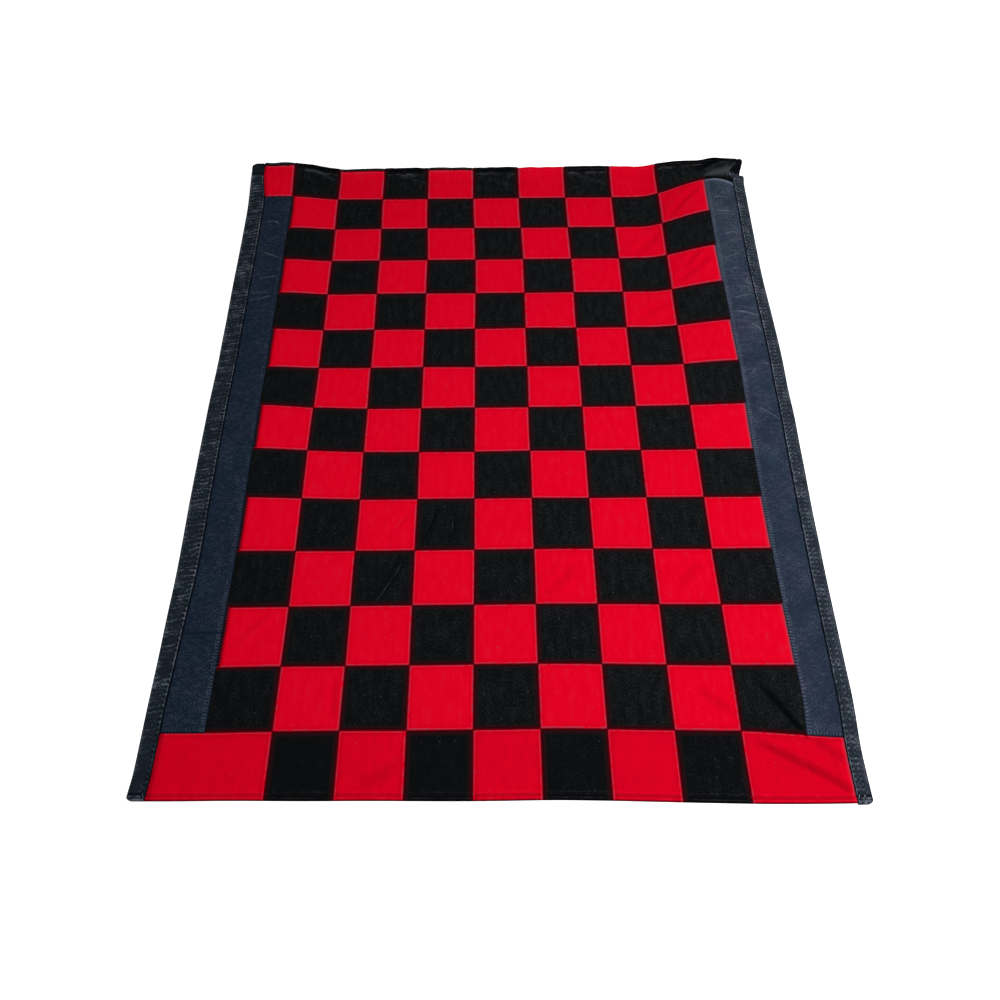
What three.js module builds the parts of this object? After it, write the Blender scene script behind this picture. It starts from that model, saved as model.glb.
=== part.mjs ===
// A flannel patchwork quilt with denim sides, lying on a floor with its far right side lifted in a soft fold.
// Units are millimetres. +X is across the quilt, +Y along it to the far end, +Z up, and the floor is Z = 0.

import * as THREE from 'three';

// Sizes of the flat cloth
const PATCH = 127;
const COLUMNS = 9;
const ROWS = 14;
const PANEL_WIDTH = 76;
const PANEL_NEAR_EXTRA = 10;
const PANEL_FAR_EXTRA = 9;
const BAND_TIP_PINCH = 18;
const LEFT_SIDE_WIDTH = 120;
const RIGHT_SIDE_WIDTH = 107;
const JOIN_GAP = 0.3;

// Thickness of the layers
const PATCH_THICKNESS = 3.2;
const SEAM_THICKNESS = 2.2;
const PANEL_THICKNESS = 2.6;
const PANEL_EDGE_THICKNESS = 2.2;
const BAND_FOLD_THICKNESS = 3.4;
const BAND_THICKNESS = 4.2;
const BAND_RIM_THICKNESS = 2.0;

// Half sizes, measured from the middle of the patches
const HALF_FIELD = (COLUMNS * PATCH) / 2;
const HALF_LENGTH = (ROWS * PATCH) / 2;
const PANEL_END = HALF_LENGTH - PATCH;

// How the cloth is drawn out of square as it lies: wider at the far end and at both ends, rows drifting to the far end
const FAR_FLARE = 0.012;
const END_SPREAD = 0.009;
const ROW_DRIFT = 13;

// Soft shifts on the floor: each grows from nothing to its full shift across u and along v
const SHIFTS = [
  { part: 'near right quarter, let out', dx: 0, dy: -10, uFrom: 60, uTo: 500, vFrom: 0, vTo: -889 },
  { part: 'near left hem, drawn in', dx: 0, dy: 7, uFrom: 0, uTo: -690, vFrom: -740, vTo: -889 },
  { part: 'near right hem, let out', dx: 0, dy: -2, uFrom: 200, uTo: 676, vFrom: -762, vTo: -889 },
  { part: 'near right side, drawn in', dx: -8, dy: 0, uFrom: 560, uTo: 676, vFrom: -250, vTo: -700 },
  { part: 'near right patch, drawn in', dx: -8, dy: 0, uFrom: 400, uTo: 571, vFrom: -670, vTo: -800 },
  { part: 'cloth taken up by the right fold', dx: -8, dy: 0, uFrom: 400, uTo: 571, vFrom: 100, vTo: 700 },
  { part: 'far right side, let out', dx: 6, dy: 0, uFrom: 571, uTo: 676, vFrom: 300, vTo: 762 },
  { part: 'left waist, near half', dx: 6, dy: 0, uFrom: -430, uTo: -571, vFrom: -570, vTo: -150 },
  { part: 'left waist, far half', dx: -6, dy: 0, uFrom: -430, uTo: -571, vFrom: -150, vTo: 270 },
  { part: 'right bulge, near half', dx: 6, dy: 0, uFrom: 420, uTo: 571, vFrom: -350, vTo: 100 },
  { part: 'right bulge, far half', dx: -6, dy: 0, uFrom: 420, uTo: 571, vFrom: 100, vTo: 450 },
  { part: 'right edge bulge, near half', dx: 3, dy: 0, uFrom: 590, uTo: 680, vFrom: -300, vTo: -150 },
  { part: 'right edge bulge, far half', dx: -3, dy: 0, uFrom: 590, uTo: 680, vFrom: -60, vTo: 60 },
  { part: 'far middle, left half', dx: -7, dy: 0, uFrom: -560, uTo: -150, vFrom: 480, vTo: 762 },
  { part: 'far middle, right half', dx: 7, dy: 0, uFrom: 0, uTo: 480, vFrom: 480, vTo: 762 },
  { part: 'cloth let go behind the right fold', dx: 3, dy: 0, uFrom: 430, uTo: 600, vFrom: 765, vTo: 850 },
  { part: 'far right tip, let out', dx: 11, dy: 0, uFrom: 590, uTo: 680, vFrom: 832, vTo: 889 },
  { part: 'near left corner, let out', dx: -3, dy: 0, uFrom: -571, uTo: -691, vFrom: -835, vTo: -889 },
];

// Soft lifts: each rises from nothing to its full height across u and along v
const LIFTS = [
  { part: 'right side', rise: 63, uFrom: 380, uTo: 600, vFrom: -250, vTo: 889 },
  { part: 'right edge sinks again', rise: -20, uFrom: 600, uTo: 690, vFrom: 100, vTo: 800 },
  { part: 'back of the right fold', rise: -34, uFrom: 430, uTo: 590, vFrom: 766, vTo: 822 },
  { part: 'right band held up behind the fold', rise: 16, uFrom: 628, uTo: 658, vFrom: 762, vTo: 790 },
  { part: 'right band drops behind the fold', rise: -16, uFrom: 628, uTo: 658, vFrom: 800, vTo: 826 },
  { part: 'far right tip', rise: 20, uFrom: 560, uTo: 676, vFrom: 822, vTo: 884 },
  { part: 'far left corner', rise: 20, uFrom: -420, uTo: -600, vFrom: 690, vTo: 889 },
  { part: 'left edge', rise: 8, uFrom: -430, uTo: -570, vFrom: -260, vTo: 60 },
];

// Soft swells: each is highest at its middle and ends at its reach
const SWELLS = [
  { part: 'left edge wave', rise: 22, u: -660, v: -150, uReach: 420, vReach: 330 },
  { part: 'far edge wave', rise: 5, u: 300, v: 900, uReach: 190, vReach: 110 },
  { part: 'curl of the far hem', rise: 12, u: -60, v: 905, uReach: 800, vReach: 60 },
];

// Grid lines in one patch: close to the seams, and in the middle where the cloth bends
const SEAM_REACH = 9;
const PLAIN_STEPS = [0, SEAM_REACH, PATCH - SEAM_REACH];
const BENT_STEPS = [0, SEAM_REACH, PATCH / 2, PATCH - SEAM_REACH];
const FOLD_STEPS = [0, SEAM_REACH, 28, 44, 62, 82, 104, PATCH - SEAM_REACH];
const BENT_COLUMNS = [0, 1, 6, 7, 8];
const BENT_ROW_FROM_FAR = 1;

// Where the lines of a side strip lie across it, as a share of its width
const STRIP_SHARES = [0, 0.12, 0.5, 0.88, 1];

const DENIM_DARK = 0x1b2633;
const DENIM_FADED = 0x323c4e;
const BAND_DARK = 0x1f2730;
const BAND_FADED = 0x2c3440;
const FLANNEL_RED = 0xd1021f;

// Goes softly from 0 at `from` to 1 at `to`
function ramp(from, to, value) {
  const share = THREE.MathUtils.clamp((value - from) / (to - from), 0, 1);
  return share * share * (3 - 2 * share);
}

// How much of a shift or lift has grown at a point of the flat cloth
function grown(row, u, v) {
  return ramp(row.uFrom, row.uTo, u) * ramp(row.vFrom, row.vTo, v);
}

// Height of the underside over the floor
function liftAt(u, v) {
  let height = 0;
  for (const lift of LIFTS) {
    height += lift.rise * grown(lift, u, v);
  }
  for (const swell of SWELLS) {
    const away = ((u - swell.u) / swell.uReach) ** 2 + ((v - swell.v) / swell.vReach) ** 2;
    height += swell.rise * Math.max(0, 1 - away) ** 2;
  }
  return Math.max(0, height);
}

// Takes a point of the flat cloth to where it lies
function lay(u, v) {
  const along = v / HALF_LENGTH;
  let x = u * (1 + FAR_FLARE * along + END_SPREAD * along ** 2);
  let y = v + ROW_DRIFT * (1 - along ** 2);
  for (const shift of SHIFTS) {
    x += shift.dx * grown(shift, u, v);
    y += shift.dy * grown(shift, u, v);
  }
  return new THREE.Vector3(x, y, liftAt(u, v));
}

// Distance of the left band's seam from the patches, which grows at both ends
function leftPanelWidth(v) {
  return PANEL_WIDTH + PANEL_NEAR_EXTRA * ramp(-350, -PANEL_END, v) + PANEL_FAR_EXTRA * ramp(740, 850, v);
}

// Distance of the right band's seam from the patches, which grows where the band is pinched at the far tip
function rightPanelWidth(v) {
  return PANEL_WIDTH + BAND_TIP_PINCH * ramp(836, 882, v);
}

// A closed sheet over a grid of the flat cloth. `across` holds a function of v for each line,
// `along` holds the rows' v, and both run upwards.
function sheet(name, colour, across, along, thicknessAt, isKept = () => true) {
  const positions = [];
  const indices = [];
  const numbers = new Map();
  const kept = (i, j) =>
    i >= 0 && j >= 0 && i < across.length - 1 && j < along.length - 1 && isKept(i, j);

  function corner(i, j, layer) {
    const key = `${i} ${j} ${layer}`;
    if (!numbers.has(key)) {
      const v = along[j];
      const point = lay(across[i](v), v);
      point.z += layer === 'top' ? thicknessAt(i, j) : 0;
      numbers.set(key, positions.length / 3);
      positions.push(point.x, point.y, point.z);
    }
    return numbers.get(key);
  }

  function quad(a, b, c, d) {
    indices.push(a, b, c, a, c, d);
  }

  function wall(i, j, iNext, jNext) {
    quad(corner(i, j, 'under'), corner(iNext, jNext, 'under'), corner(iNext, jNext, 'top'), corner(i, j, 'top'));
  }

  for (let i = 0; i < across.length - 1; i += 1) {
    for (let j = 0; j < along.length - 1; j += 1) {
      if (!kept(i, j)) continue;
      const ring = [[i, j], [i + 1, j], [i + 1, j + 1], [i, j + 1]];
      quad(...ring.map(([column, row]) => corner(column, row, 'top')));
      quad(...ring.reverse().map(([column, row]) => corner(column, row, 'under')));
      if (!kept(i, j - 1)) wall(i, j, i + 1, j);
      if (!kept(i + 1, j)) wall(i + 1, j, i + 1, j + 1);
      if (!kept(i, j + 1)) wall(i + 1, j + 1, i, j + 1);
      if (!kept(i - 1, j)) wall(i, j + 1, i, j);
    }
  }

  const geometry = new THREE.BufferGeometry();
  geometry.setAttribute('position', new THREE.Float32BufferAttribute(positions, 3));
  geometry.setIndex(indices);
  geometry.computeVertexNormals();
  const material = new THREE.MeshStandardMaterial({ color: colour, roughness: 0.95, metalness: 0 });
  const mesh = new THREE.Mesh(geometry, material);
  mesh.name = name;
  return mesh;
}

// Lines over a run of patches from `start`, with the steps that each patch asks for
function patchLines(start, count, stepsOf) {
  const lines = [];
  for (let patch = 0; patch < count; patch += 1) {
    lines.push(...stepsOf(patch).map((step) => start + patch * PATCH + step));
  }
  lines.push(start + count * PATCH);
  return lines;
}

const columnLines = patchLines(-HALF_FIELD, COLUMNS, (column) =>
  BENT_COLUMNS.includes(column) ? BENT_STEPS : PLAIN_STEPS);

const rowLines = patchLines(-HALF_LENGTH, ROWS, (row) => {
  const fromFar = ROWS - 1 - row;
  if (fromFar === 0) return FOLD_STEPS;
  return fromFar === BENT_ROW_FROM_FAR ? BENT_STEPS : PLAIN_STEPS;
});

// Thin on a seam, full inside a patch
function patchThickness(distance) {
  return distance < 1 ? SEAM_THICKNESS : PATCH_THICKNESS;
}

function seamDistance(value, half) {
  const inPatch = THREE.MathUtils.euclideanModulo(value + half, PATCH);
  return Math.min(inPatch, PATCH - inPatch);
}

function patchwork() {
  const innerShares = STRIP_SHARES.slice(1, -1);
  const leftWing = [1, ...innerShares.toReversed()].map((share) => (v) =>
    -HALF_FIELD - share * leftPanelWidth(v));
  const rightWing = [...innerShares, 1].map((share) => (v) => HALF_FIELD + share * rightPanelWidth(v));
  const field = columnLines.map((u) => () => u);
  const across = [...leftWing, ...field, ...rightWing];
  const firstField = leftWing.length;
  const lastField = across.length - 1 - rightWing.length;

  const thicknessAt = (i, j) => {
    const v = rowLines[j];
    const u = across[i](v);
    const onOuterEdge = Math.abs(v) === HALF_LENGTH;
    const isWing = i < firstField || i > lastField;
    const sideways = isWing ? PATCH : seamDistance(u, HALF_FIELD);
    const lengthways = onOuterEdge ? PATCH : seamDistance(v, HALF_LENGTH);
    return patchThickness(Math.min(sideways, lengthways));
  };
  const isKept = (i, j) => {
    const inField = i >= firstField && i < lastField;
    const inEndRow = rowLines[j] >= PANEL_END || rowLines[j + 1] <= -PANEL_END;
    return inField || inEndRow;
  };
  return sheet('patchwork', FLANNEL_RED, across, rowLines, thicknessAt, isKept);
}

function panel(name, colour, side, widthAt) {
  const inner = rowLines.filter((v) => Math.abs(v) < PANEL_END);
  const along = [-PANEL_END + JOIN_GAP, ...inner, PANEL_END - JOIN_GAP];
  const shares = side < 0 ? STRIP_SHARES.toReversed() : STRIP_SHARES;
  const across = shares.map((share) => (v) =>
    side * (HALF_FIELD + JOIN_GAP + share * (widthAt(v) - JOIN_GAP)));
  const thicknessAt = (i) =>
    i === 0 || i === across.length - 1 ? PANEL_EDGE_THICKNESS : PANEL_THICKNESS;
  return sheet(name, colour, across, along, thicknessAt);
}

function band(name, colour, side, panelWidthAt, sideWidth) {
  const profile = [BAND_FOLD_THICKNESS, BAND_THICKNESS, BAND_THICKNESS, BAND_THICKNESS, BAND_RIM_THICKNESS];
  const heights = side < 0 ? profile.toReversed() : profile;
  const shares = side < 0 ? STRIP_SHARES.toReversed() : STRIP_SHARES;
  const across = shares.map((share) => (v) => {
    const seam = panelWidthAt(v) + JOIN_GAP;
    return side * (HALF_FIELD + seam + share * (sideWidth - seam));
  });
  return sheet(name, colour, across, rowLines, (i) => heights[i]);
}

const quilt = new THREE.Group();
quilt.add(
  patchwork(),
  panel('left_panel', DENIM_DARK, -1, leftPanelWidth),
  panel('right_panel', DENIM_FADED, 1, rightPanelWidth),
  band('left_band', BAND_DARK, -1, leftPanelWidth, LEFT_SIDE_WIDTH),
  band('right_band', BAND_FADED, 1, rightPanelWidth, RIGHT_SIDE_WIDTH),
);

// The origin is on the floor, in the middle of the quilt's outline
const middle = new THREE.Box3().setFromObject(quilt).getCenter(new THREE.Vector3());
quilt.position.set(-middle.x, -middle.y, 0);

export default quilt;
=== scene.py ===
import math
import random
from collections import namedtuple
from functools import partial

import bmesh
import bpy
import numpy as np
from bpy.props import FloatProperty, FloatVectorProperty, PointerProperty
from mathutils import Matrix, Vector, noise


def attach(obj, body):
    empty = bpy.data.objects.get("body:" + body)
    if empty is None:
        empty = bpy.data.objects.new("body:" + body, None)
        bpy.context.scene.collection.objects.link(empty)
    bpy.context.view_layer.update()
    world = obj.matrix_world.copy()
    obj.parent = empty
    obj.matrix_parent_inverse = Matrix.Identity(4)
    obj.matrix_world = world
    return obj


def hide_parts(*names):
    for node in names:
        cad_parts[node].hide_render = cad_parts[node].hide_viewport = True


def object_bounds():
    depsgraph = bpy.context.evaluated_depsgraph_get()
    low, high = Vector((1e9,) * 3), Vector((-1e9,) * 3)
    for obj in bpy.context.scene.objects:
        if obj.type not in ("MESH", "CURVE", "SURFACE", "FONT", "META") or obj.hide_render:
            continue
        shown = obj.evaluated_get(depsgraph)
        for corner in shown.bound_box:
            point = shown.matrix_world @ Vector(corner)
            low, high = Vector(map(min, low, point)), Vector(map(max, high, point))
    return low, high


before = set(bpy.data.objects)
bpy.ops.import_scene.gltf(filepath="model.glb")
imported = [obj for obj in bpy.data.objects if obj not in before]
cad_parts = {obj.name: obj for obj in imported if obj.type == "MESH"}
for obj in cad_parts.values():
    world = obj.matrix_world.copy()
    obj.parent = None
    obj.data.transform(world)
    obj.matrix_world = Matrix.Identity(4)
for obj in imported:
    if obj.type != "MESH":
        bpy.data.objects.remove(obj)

bl_info = {
    "name": "Patchwork Flannel Quilt",
    "version": (1, 0, 0),
    "blender": (4, 5, 0),
    "location": "View3D > Sidebar > Quilt",
    "description": "Lays out a red and black flannel patchwork quilt with denim sides",
    "category": "Add Mesh",
}

CAD_LOW, CAD_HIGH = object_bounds()
BODY = "root"
MM = 0.001

# The flat cloth in millimetres: u runs across the quilt and v along it, from the middle of the patches
PATCH = 127.0
COLUMNS = 9
ROWS = 14
PANEL_WIDTH = 76.0
PANEL_NEAR_EXTRA = 10.0
PANEL_EXTRA_FROM = -350.0
PANEL_FAR_EXTRA = 9.0
PANEL_FAR_FROM = 740.0
PANEL_FAR_TO = 850.0
BAND_TIP_PINCH = 18.0
BAND_TIP_FROM = 836.0
BAND_TIP_TO = 882.0
LEFT = -1
RIGHT = 1
SIDE_WIDTH = {LEFT: 120.0, RIGHT: 107.0}
HALF_FIELD = COLUMNS * PATCH / 2
HALF_LENGTH = ROWS * PATCH / 2
PANEL_END = HALF_LENGTH - PATCH

# How the cloth is drawn out of square as it lies
FAR_FLARE = 0.012
END_SPREAD = 0.009
ROW_DRIFT = 13.0

# How many points of each edge are tried to find the middle of the outline
OUTLINE_POINTS = 801

# Rows of the tables, in millimetres on the flat cloth
Shift = namedtuple("Shift", "dx dy u_from u_to v_from v_to")
Lift = namedtuple("Lift", "rise u_from u_to v_from v_to")
Swell = namedtuple("Swell", "rise u v u_reach v_reach")
Crease = namedtuple("Crease", "u1 v1 u2 v2 half_width rise bow shade")
FineCrease = namedtuple("FineCrease", "u1 v1 u2 v2 half_width wear")
# A Tint row is a patch of painted shade
Tint = namedtuple("Tint", "shade u v u_reach v_reach")

# Smooth waves, and the strength of something that comes and goes with them
Wave = namedtuple("Wave", "u_size v_size seed")
Breaks = namedtuple("Breaks", "wave middle swing least most")

# A soft line at a distance from an edge, and the share of its height that cloth keeps at a rounded edge
Line = namedtuple("Line", "place half_width amount")
Rim = namedtuple("Rim", "radius least")

# Finish of a flannel and of a denim, and a studio lamp
Pile = namedtuple("Pile", "mottle streak sheen sheen_tint")
Wash = namedtuple("Wash", "fleck fade cloud_size")
Lamp = namedtuple("Lamp", "power width place")

# Soft shifts on the floor
SHIFTS = (
    Shift(0, -10, 60, 500, 0, -889),  # near right quarter, let out
    Shift(0, 7, 0, -690, -740, -889),  # near left hem, drawn in
    Shift(0, -2, 200, 676, -762, -889),  # near right hem, let out
    Shift(-8, 0, 560, 676, -250, -700),  # near right side, drawn in
    Shift(-8, 0, 400, 571, -670, -800),  # near right patch, drawn in
    Shift(-8, 0, 400, 571, 100, 700),  # cloth taken up by the right fold
    Shift(6, 0, 571, 676, 300, 762),  # far right side, let out
    Shift(6, 0, -430, -571, -570, -150),  # left waist, near half
    Shift(-6, 0, -430, -571, -150, 270),  # left waist, far half
    Shift(6, 0, 420, 571, -350, 100),  # right bulge, near half
    Shift(-6, 0, 420, 571, 100, 450),  # right bulge, far half
    Shift(3, 0, 590, 680, -300, -150),  # right edge bulge, near half
    Shift(-3, 0, 590, 680, -60, 60),  # right edge bulge, far half
    Shift(-7, 0, -560, -150, 480, 762),  # far middle, left half
    Shift(7, 0, 0, 480, 480, 762),  # far middle, right half
    Shift(3, 0, 430, 600, 765, 850),  # cloth let go behind the right fold
    Shift(11, 0, 590, 680, 832, 889),  # far right tip, let out
    Shift(-3, 0, -571, -691, -835, -889),  # near left corner, let out
    Shift(0, -13, 430, 660, -645, -755),  # near end of the right panel, let out more than in the solids
    Shift(0, 13, 430, 660, -772, -880),  # drawn in again before the near right hem
)

# Soft lifts off the floor
LIFTS = (
    Lift(63, 380, 600, -250, 889),  # right side
    Lift(-20, 600, 690, 100, 800),  # right edge sinks again
    Lift(-34, 430, 590, 766, 822),  # back of the right fold
    Lift(16, 628, 658, 762, 790),  # right band held up behind the fold
    Lift(-16, 628, 658, 800, 826),  # right band drops behind the fold
    Lift(20, 560, 676, 822, 884),  # far right tip
    Lift(20, -420, -600, 690, 889),  # far left corner
    Lift(8, -430, -570, -260, 60),  # left edge
)

# Soft swells, highest in the middle
SWELLS = (
    Swell(22, -660, -150, 420, 330),  # left edge wave
    Swell(5, 300, 900, 190, 110),  # far edge wave
    Swell(12, -60, 905, 800, 60),  # curl of the far hem
)

# Creases that show, each a soft trough or ridge with its own width, height, bend and painted shading:
# painted shade where it is below 0, painted highlight where it is above 0
CREASES = (
    Crease(495, -677, 573, -768, 3.6, -3.2, 1, -0.9),  # black patch by the near right panel
    Crease(371, -681, 438, -731, 8, -3.4, -3, -0.16),  # red patch beside it
    Crease(466, -779, 662, -885, 7, -4.2, 9, -0.36),  # long drag in the near right patch
    Crease(585, -772, 646, -815, 7, -3.2, 3, -0.22),  # short drag above it
    Crease(-538, -598, -469, -530, 9, 2.8, 4, 0.0),  # red patch by the near left panel
    Crease(-285, -861, -207, -826, 12, -3.4, -4, -0.12),  # near hem, left of the middle
    Crease(-339, -659, -338, -745, 7, -2.4, 2, -0.10),
    Crease(-257, -361, -205, -282, 8, -1.8, 4, -0.03),
    Crease(-145, -277, -163, -368, 4, -1.6, 0, -0.12),
    Crease(-107, -291, -106, -362, 4, -1.4, 0, -0.08),
    Crease(-214, -385, -264, -495, 6, -1.6, 0, -0.06),
    Crease(76, -488, 151, -412, 10, -3.2, -5, -0.12),
    Crease(359, -468, 419, -411, 9, -3.0, 3, -0.11),
    Crease(468, 658, 555, 738, 10, -3.0, 4, -0.10),  # far right column, second row
    Crease(461, 406, 557, 483, 10, -2.6, -4, -0.08),
    Crease(479, 440, 531, 504, 9, -2.0, 3, -0.05),
    Crease(350, 279, 422, 336, 10, -2.4, 4, -0.07),
    Crease(348, 516, 431, 611, 10, -2.4, -5, -0.07),
    # Painted highlights on the ridges of these crinkles
    Crease(-516, 867, -452, 840, 4, 2.4, 3, 0.30),  # crinkled black patches of the far row
    Crease(-565, 876, -492, 868, 4, 2.0, 0, 0.25),
    Crease(-553, 833, -524, 836, 4, 1.2, 1, 0.18),
    Crease(-298, 873, -185, 820, 4, 2.4, 6, 0.22),
    Crease(-48, 859, 61, 816, 4, 2.2, -4, 0.10),
    Crease(197, 865, 316, 812, 4, 2.4, 5, 0.22),
    Crease(11, 754, -9, 181, 4, 0.8, 0, 0.0),  # faint lengthways fold from storage
    Crease(572, 836, 668, 884, 5, 3.0, 3, 0.20),  # ridge from the far right fold to the tip
    # Painted highlight on the lit side of the ridge, then painted shade on its dark side
    Crease(580, 812, 664, 854, 11, 0.0, 2, 0.70),  # lit side of that ridge
    Crease(562, 850, 655, 890, 11, -2.6, 2, -0.85),  # dark side of that ridge
    Crease(575, 762, 650, 746, 7, 2.4, 2, 0.0),  # crest of the far right fold
)

# Creases too fine for the mesh: both ends, half width and wear, which is painted shade below 0 and painted
# highlight above 0, drawn by the flannel materials
RED_FINE_CREASES = (
    FineCrease(-244, -335, -220, -302, 3.0, 0.07),
    FineCrease(-232, -320, -202, -283, 2.8, 0.06),
    FineCrease(-242, -284, -238, -326, 2.8, 0.05),
)
BLACK_FINE_CREASES = (
    FineCrease(-145, -270, -160, -336, 2.6, -0.26),
    FineCrease(-154, -316, -179, -380, 2.8, -0.22),
    FineCrease(-150, -272, -163, -330, 2.2, 0.10),
    FineCrease(-110, -264, -107, -317, 2.6, -0.16),
    FineCrease(-110, -306, -111, -342, 2.6, 0.12),
    FineCrease(-106, -306, -107, -342, 2.6, -0.14),
    FineCrease(-215, -406, -235, -454, 2.8, 0.15),
    FineCrease(-229, -440, -268, -505, 3.0, 0.17),
    FineCrease(-209, -410, -262, -506, 3.4, -0.16),
)

# Fine worn creases of the side panels
PANEL_CREASES = {
    LEFT: (
        Crease(-643, 657, -595, 650, 2.6, 1.0, 9, 0.26),
        Crease(-634, 609, -609, 576, 2.2, 0.7, -4, 0.20),
        Crease(-615, 584, -587, 600, 2.2, 0.7, 3, 0.18),
        Crease(-632, 537, -608, 524, 2.2, 0.8, 1, 0.24),
        Crease(-618, 531, -574, 504, 2.2, 0.9, 2, 0.28),
        Crease(-630, 431, -577, 440, 2.6, 0.9, 5, 0.22),
        Crease(-645, 379, -597, 384, 2.4, 0.7, 2, 0.16),
        Crease(-645, 355, -586, 372, 2.4, 0.8, -2, 0.20),
        Crease(-645, 47, -620, 36, 2.2, 0.7, 1, 0.16),
    ),
    RIGHT: (
        Crease(586, 686, 627, 683, 2.4, 1.0, 3, 0.34),
        Crease(587, 631, 642, 637, 2.2, 1.0, -2, 0.36),
        Crease(601, 542, 635, 551, 2.6, 1.2, 5, 0.40),
        Crease(619, 525, 643, 528, 2.4, 0.9, 3, 0.28),
        Crease(583, 462, 630, 479, 3.0, 0.8, -3, 0.18),
        Crease(598, 421, 627, 422, 3.4, 0.8, 2, 0.22),
        Crease(640, 395, 631, 380, 2.0, 0.8, 0, 0.30),
        Crease(631, 380, 644, 367, 2.0, 0.8, 0, 0.34),
        Crease(605, 356, 638, 360, 2.4, 0.8, 2, 0.22),
        Crease(594, 325, 634, 335, 2.4, 0.9, -2, 0.26),
        Crease(598, 298, 638, 288, 2.2, 0.8, -2, 0.24),
        Crease(580, 280, 643, 264, 2.4, 1.1, 4, 0.36),
        Crease(619, 242, 643, 218, 2.2, 1.1, 2, 0.40),
        Crease(581, 221, 631, 226, 3.0, 0.6, 3, 0.14),
        Crease(630, 123, 643, 110, 2.2, 0.8, 0, 0.28),
        Crease(590, 79, 609, 101, 2.2, 0.7, -1, 0.22),
        Crease(628, 63, 643, 56, 2.2, 0.7, 1, 0.22),
        Crease(590, 24, 639, 31, 3.0, 0.6, -2, 0.12),
        Crease(603, -14, 642, -45, 2.0, 0.9, 1, 0.32),
    ),
}

# Fine creases scattered over the far half of each panel, crowded to its end, and drawn from these ranges
SCATTERED_CREASES = 14
SCATTER_SEED = 40
SCATTER_CROWDING = 1.3
SCATTER_ACROSS = (12.0, PANEL_WIDTH - 10.0)
SCATTER_LEAN = {LEFT: 0.5, RIGHT: 0.08}
SCATTER_TURN = 0.2
SCATTER_HALF_LENGTH = (8.0, 26.0)
SCATTER_RISE = (0.3, 0.8)
SCATTER_HALF_WIDTH = (1.8, 3.0)
SCATTER_BOW = (-2.0, 2.0)
SCATTER_WEAR = {LEFT: 0.05, RIGHT: 0.12}

# Patches of painted shade
PAINTED_SHADE_PATCHES = (
    # Painted shade
    Tint(-0.40, 600, 776, 60, 12),  # down behind the crest of the far right fold
)

# Unevenness of all the cloth, with its drift or height
WANDER_ACROSS = Wave(170.0, 170.0, 11.0)
WANDER_ALONG = Wave(170.0, 170.0, 23.0)
WANDER_DRIFT = 1.1
ROLL = Wave(120.0, 120.0, 3.0)
ROLL_HEIGHT = 1.0
RUMPLE = Wave(38.0, 38.0, 5.0)
RUMPLE_HEIGHT = 0.45
SOFT_BEND = 0.5

# A crease pushes up banks at its sides, placed in half widths, and fades over these shares of its length
BANK_PLACE = 1.7
BANK_HEIGHT = 0.5
CREASE_FADE_IN = (-0.1, 0.25)
CREASE_FADE_OUT = (1.1, 0.75)

# Stretches along the quilt over which its near row, its far row and the distance take effect
NEAR_ROW = (-600.0, -700.0)
FAR_ROW = (600.0, 700.0)
WHOLE_LENGTH = (-600.0, 700.0)

# Steps between lines in a patch, one with a sharp crease, a wing and an end row, small at the edges
PATCH_STEPS = (6.5, 15.0, 20.0, 22.0, 22.0, 20.0, 15.0, 6.5)
FINE_STEPS = (6.5, *(9.5,) * 12, 6.5)
WING_STEPS = (6.5, 12.0, 13.0, 13.0, 13.0, 12.0, 6.5)
HEM_STEPS = (6.5, 7.5, 12.0, 18.0, 20.0, 20.0, 20.0, 16.5, 6.5)

# How often each cell is divided again, and the size of the cells in the panels and bands
PATCH_CUTS = 2
STRIP_CELL = 4.0
STRIP_CUTS = 2

# Relief of the patchwork at its seams and edges
ALLOWANCE_EDGE = (9.0, 5.0)
PUFF_EDGE = (0.0, 26.0)
PUFF_HEIGHT = 0.6
GROOVE_HALF_WIDTH = 2.3
LEAST_FLANNEL = 1.0
PATCH_END_RIM = Rim(3.0, 0.15)
PATCH_SIDE_RIM = Rim(3.0, 0.3)

# Worn nap along the red edges, and painted shade along their seams and beside the left denim, where a pair
# goes from the near rows to the far ones
SEAM_RUBS = Breaks(Wave(9.0, 9.0, 37.0), 0.75, 0.8, 0.2, 1.0)
NAP_WEAR = 1.05
NAP_PLACE = (2.3, 2.9)
NAP_HALF_WIDTH = (1.5, 2.8)
EDGE_SHADE = 0.2
EDGE_SHADE_FROM = (12.0, 16.0)
EDGE_SHADE_TO = (3.0, 5.0)
BESIDE_DENIM = (13.0, 2.0)
LEFT_PANEL_SHADE = -0.85
LEFT_BAND_SHADE = -0.55
RIGHT_DENIM_NAP = 0.3

# Wear of the black patches, with painted light that makes them paler to the right, of the cloth beside the
# bands, with painted shade, and painted shade in the near row
BLACK_WEAR = 0.018
BLACK_RIGHT_PAINTED_LIGHT = 0.033
SIDE_NAP = Line(2.6, 1.4, 1.0)
LEFT_SIDE_NAP = 0.5
SIDE_SHADE = Line(0.0, 1.2, -1.0)
NEAR_PATCHES = (2.0 - PANEL_END, -2.0 - PANEL_END)
NEAR_RED_SHADE = 0.11
NEAR_BLACK_SHADE = 0.07

# The red cloth is turned down into its seams and shows this far on the black side, further in the far rows,
# and painted shade darkens both sides down in the seams
RED_TURN = 4.4
RED_TURN_GROWTH = 0.5
RED_TURN_STRETCH = (-200.0, 500.0)
RED_SEAM_SHADE = Line(0.0, 1.0, 0.88)
COLUMN_SEAM_REACH = (4.8, 6.2)
ROW_SEAM_REACH = (5.6, 11.2)
SEAM_FULL_FROM = 1.0
SEAM_EASE = 0.12
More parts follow.
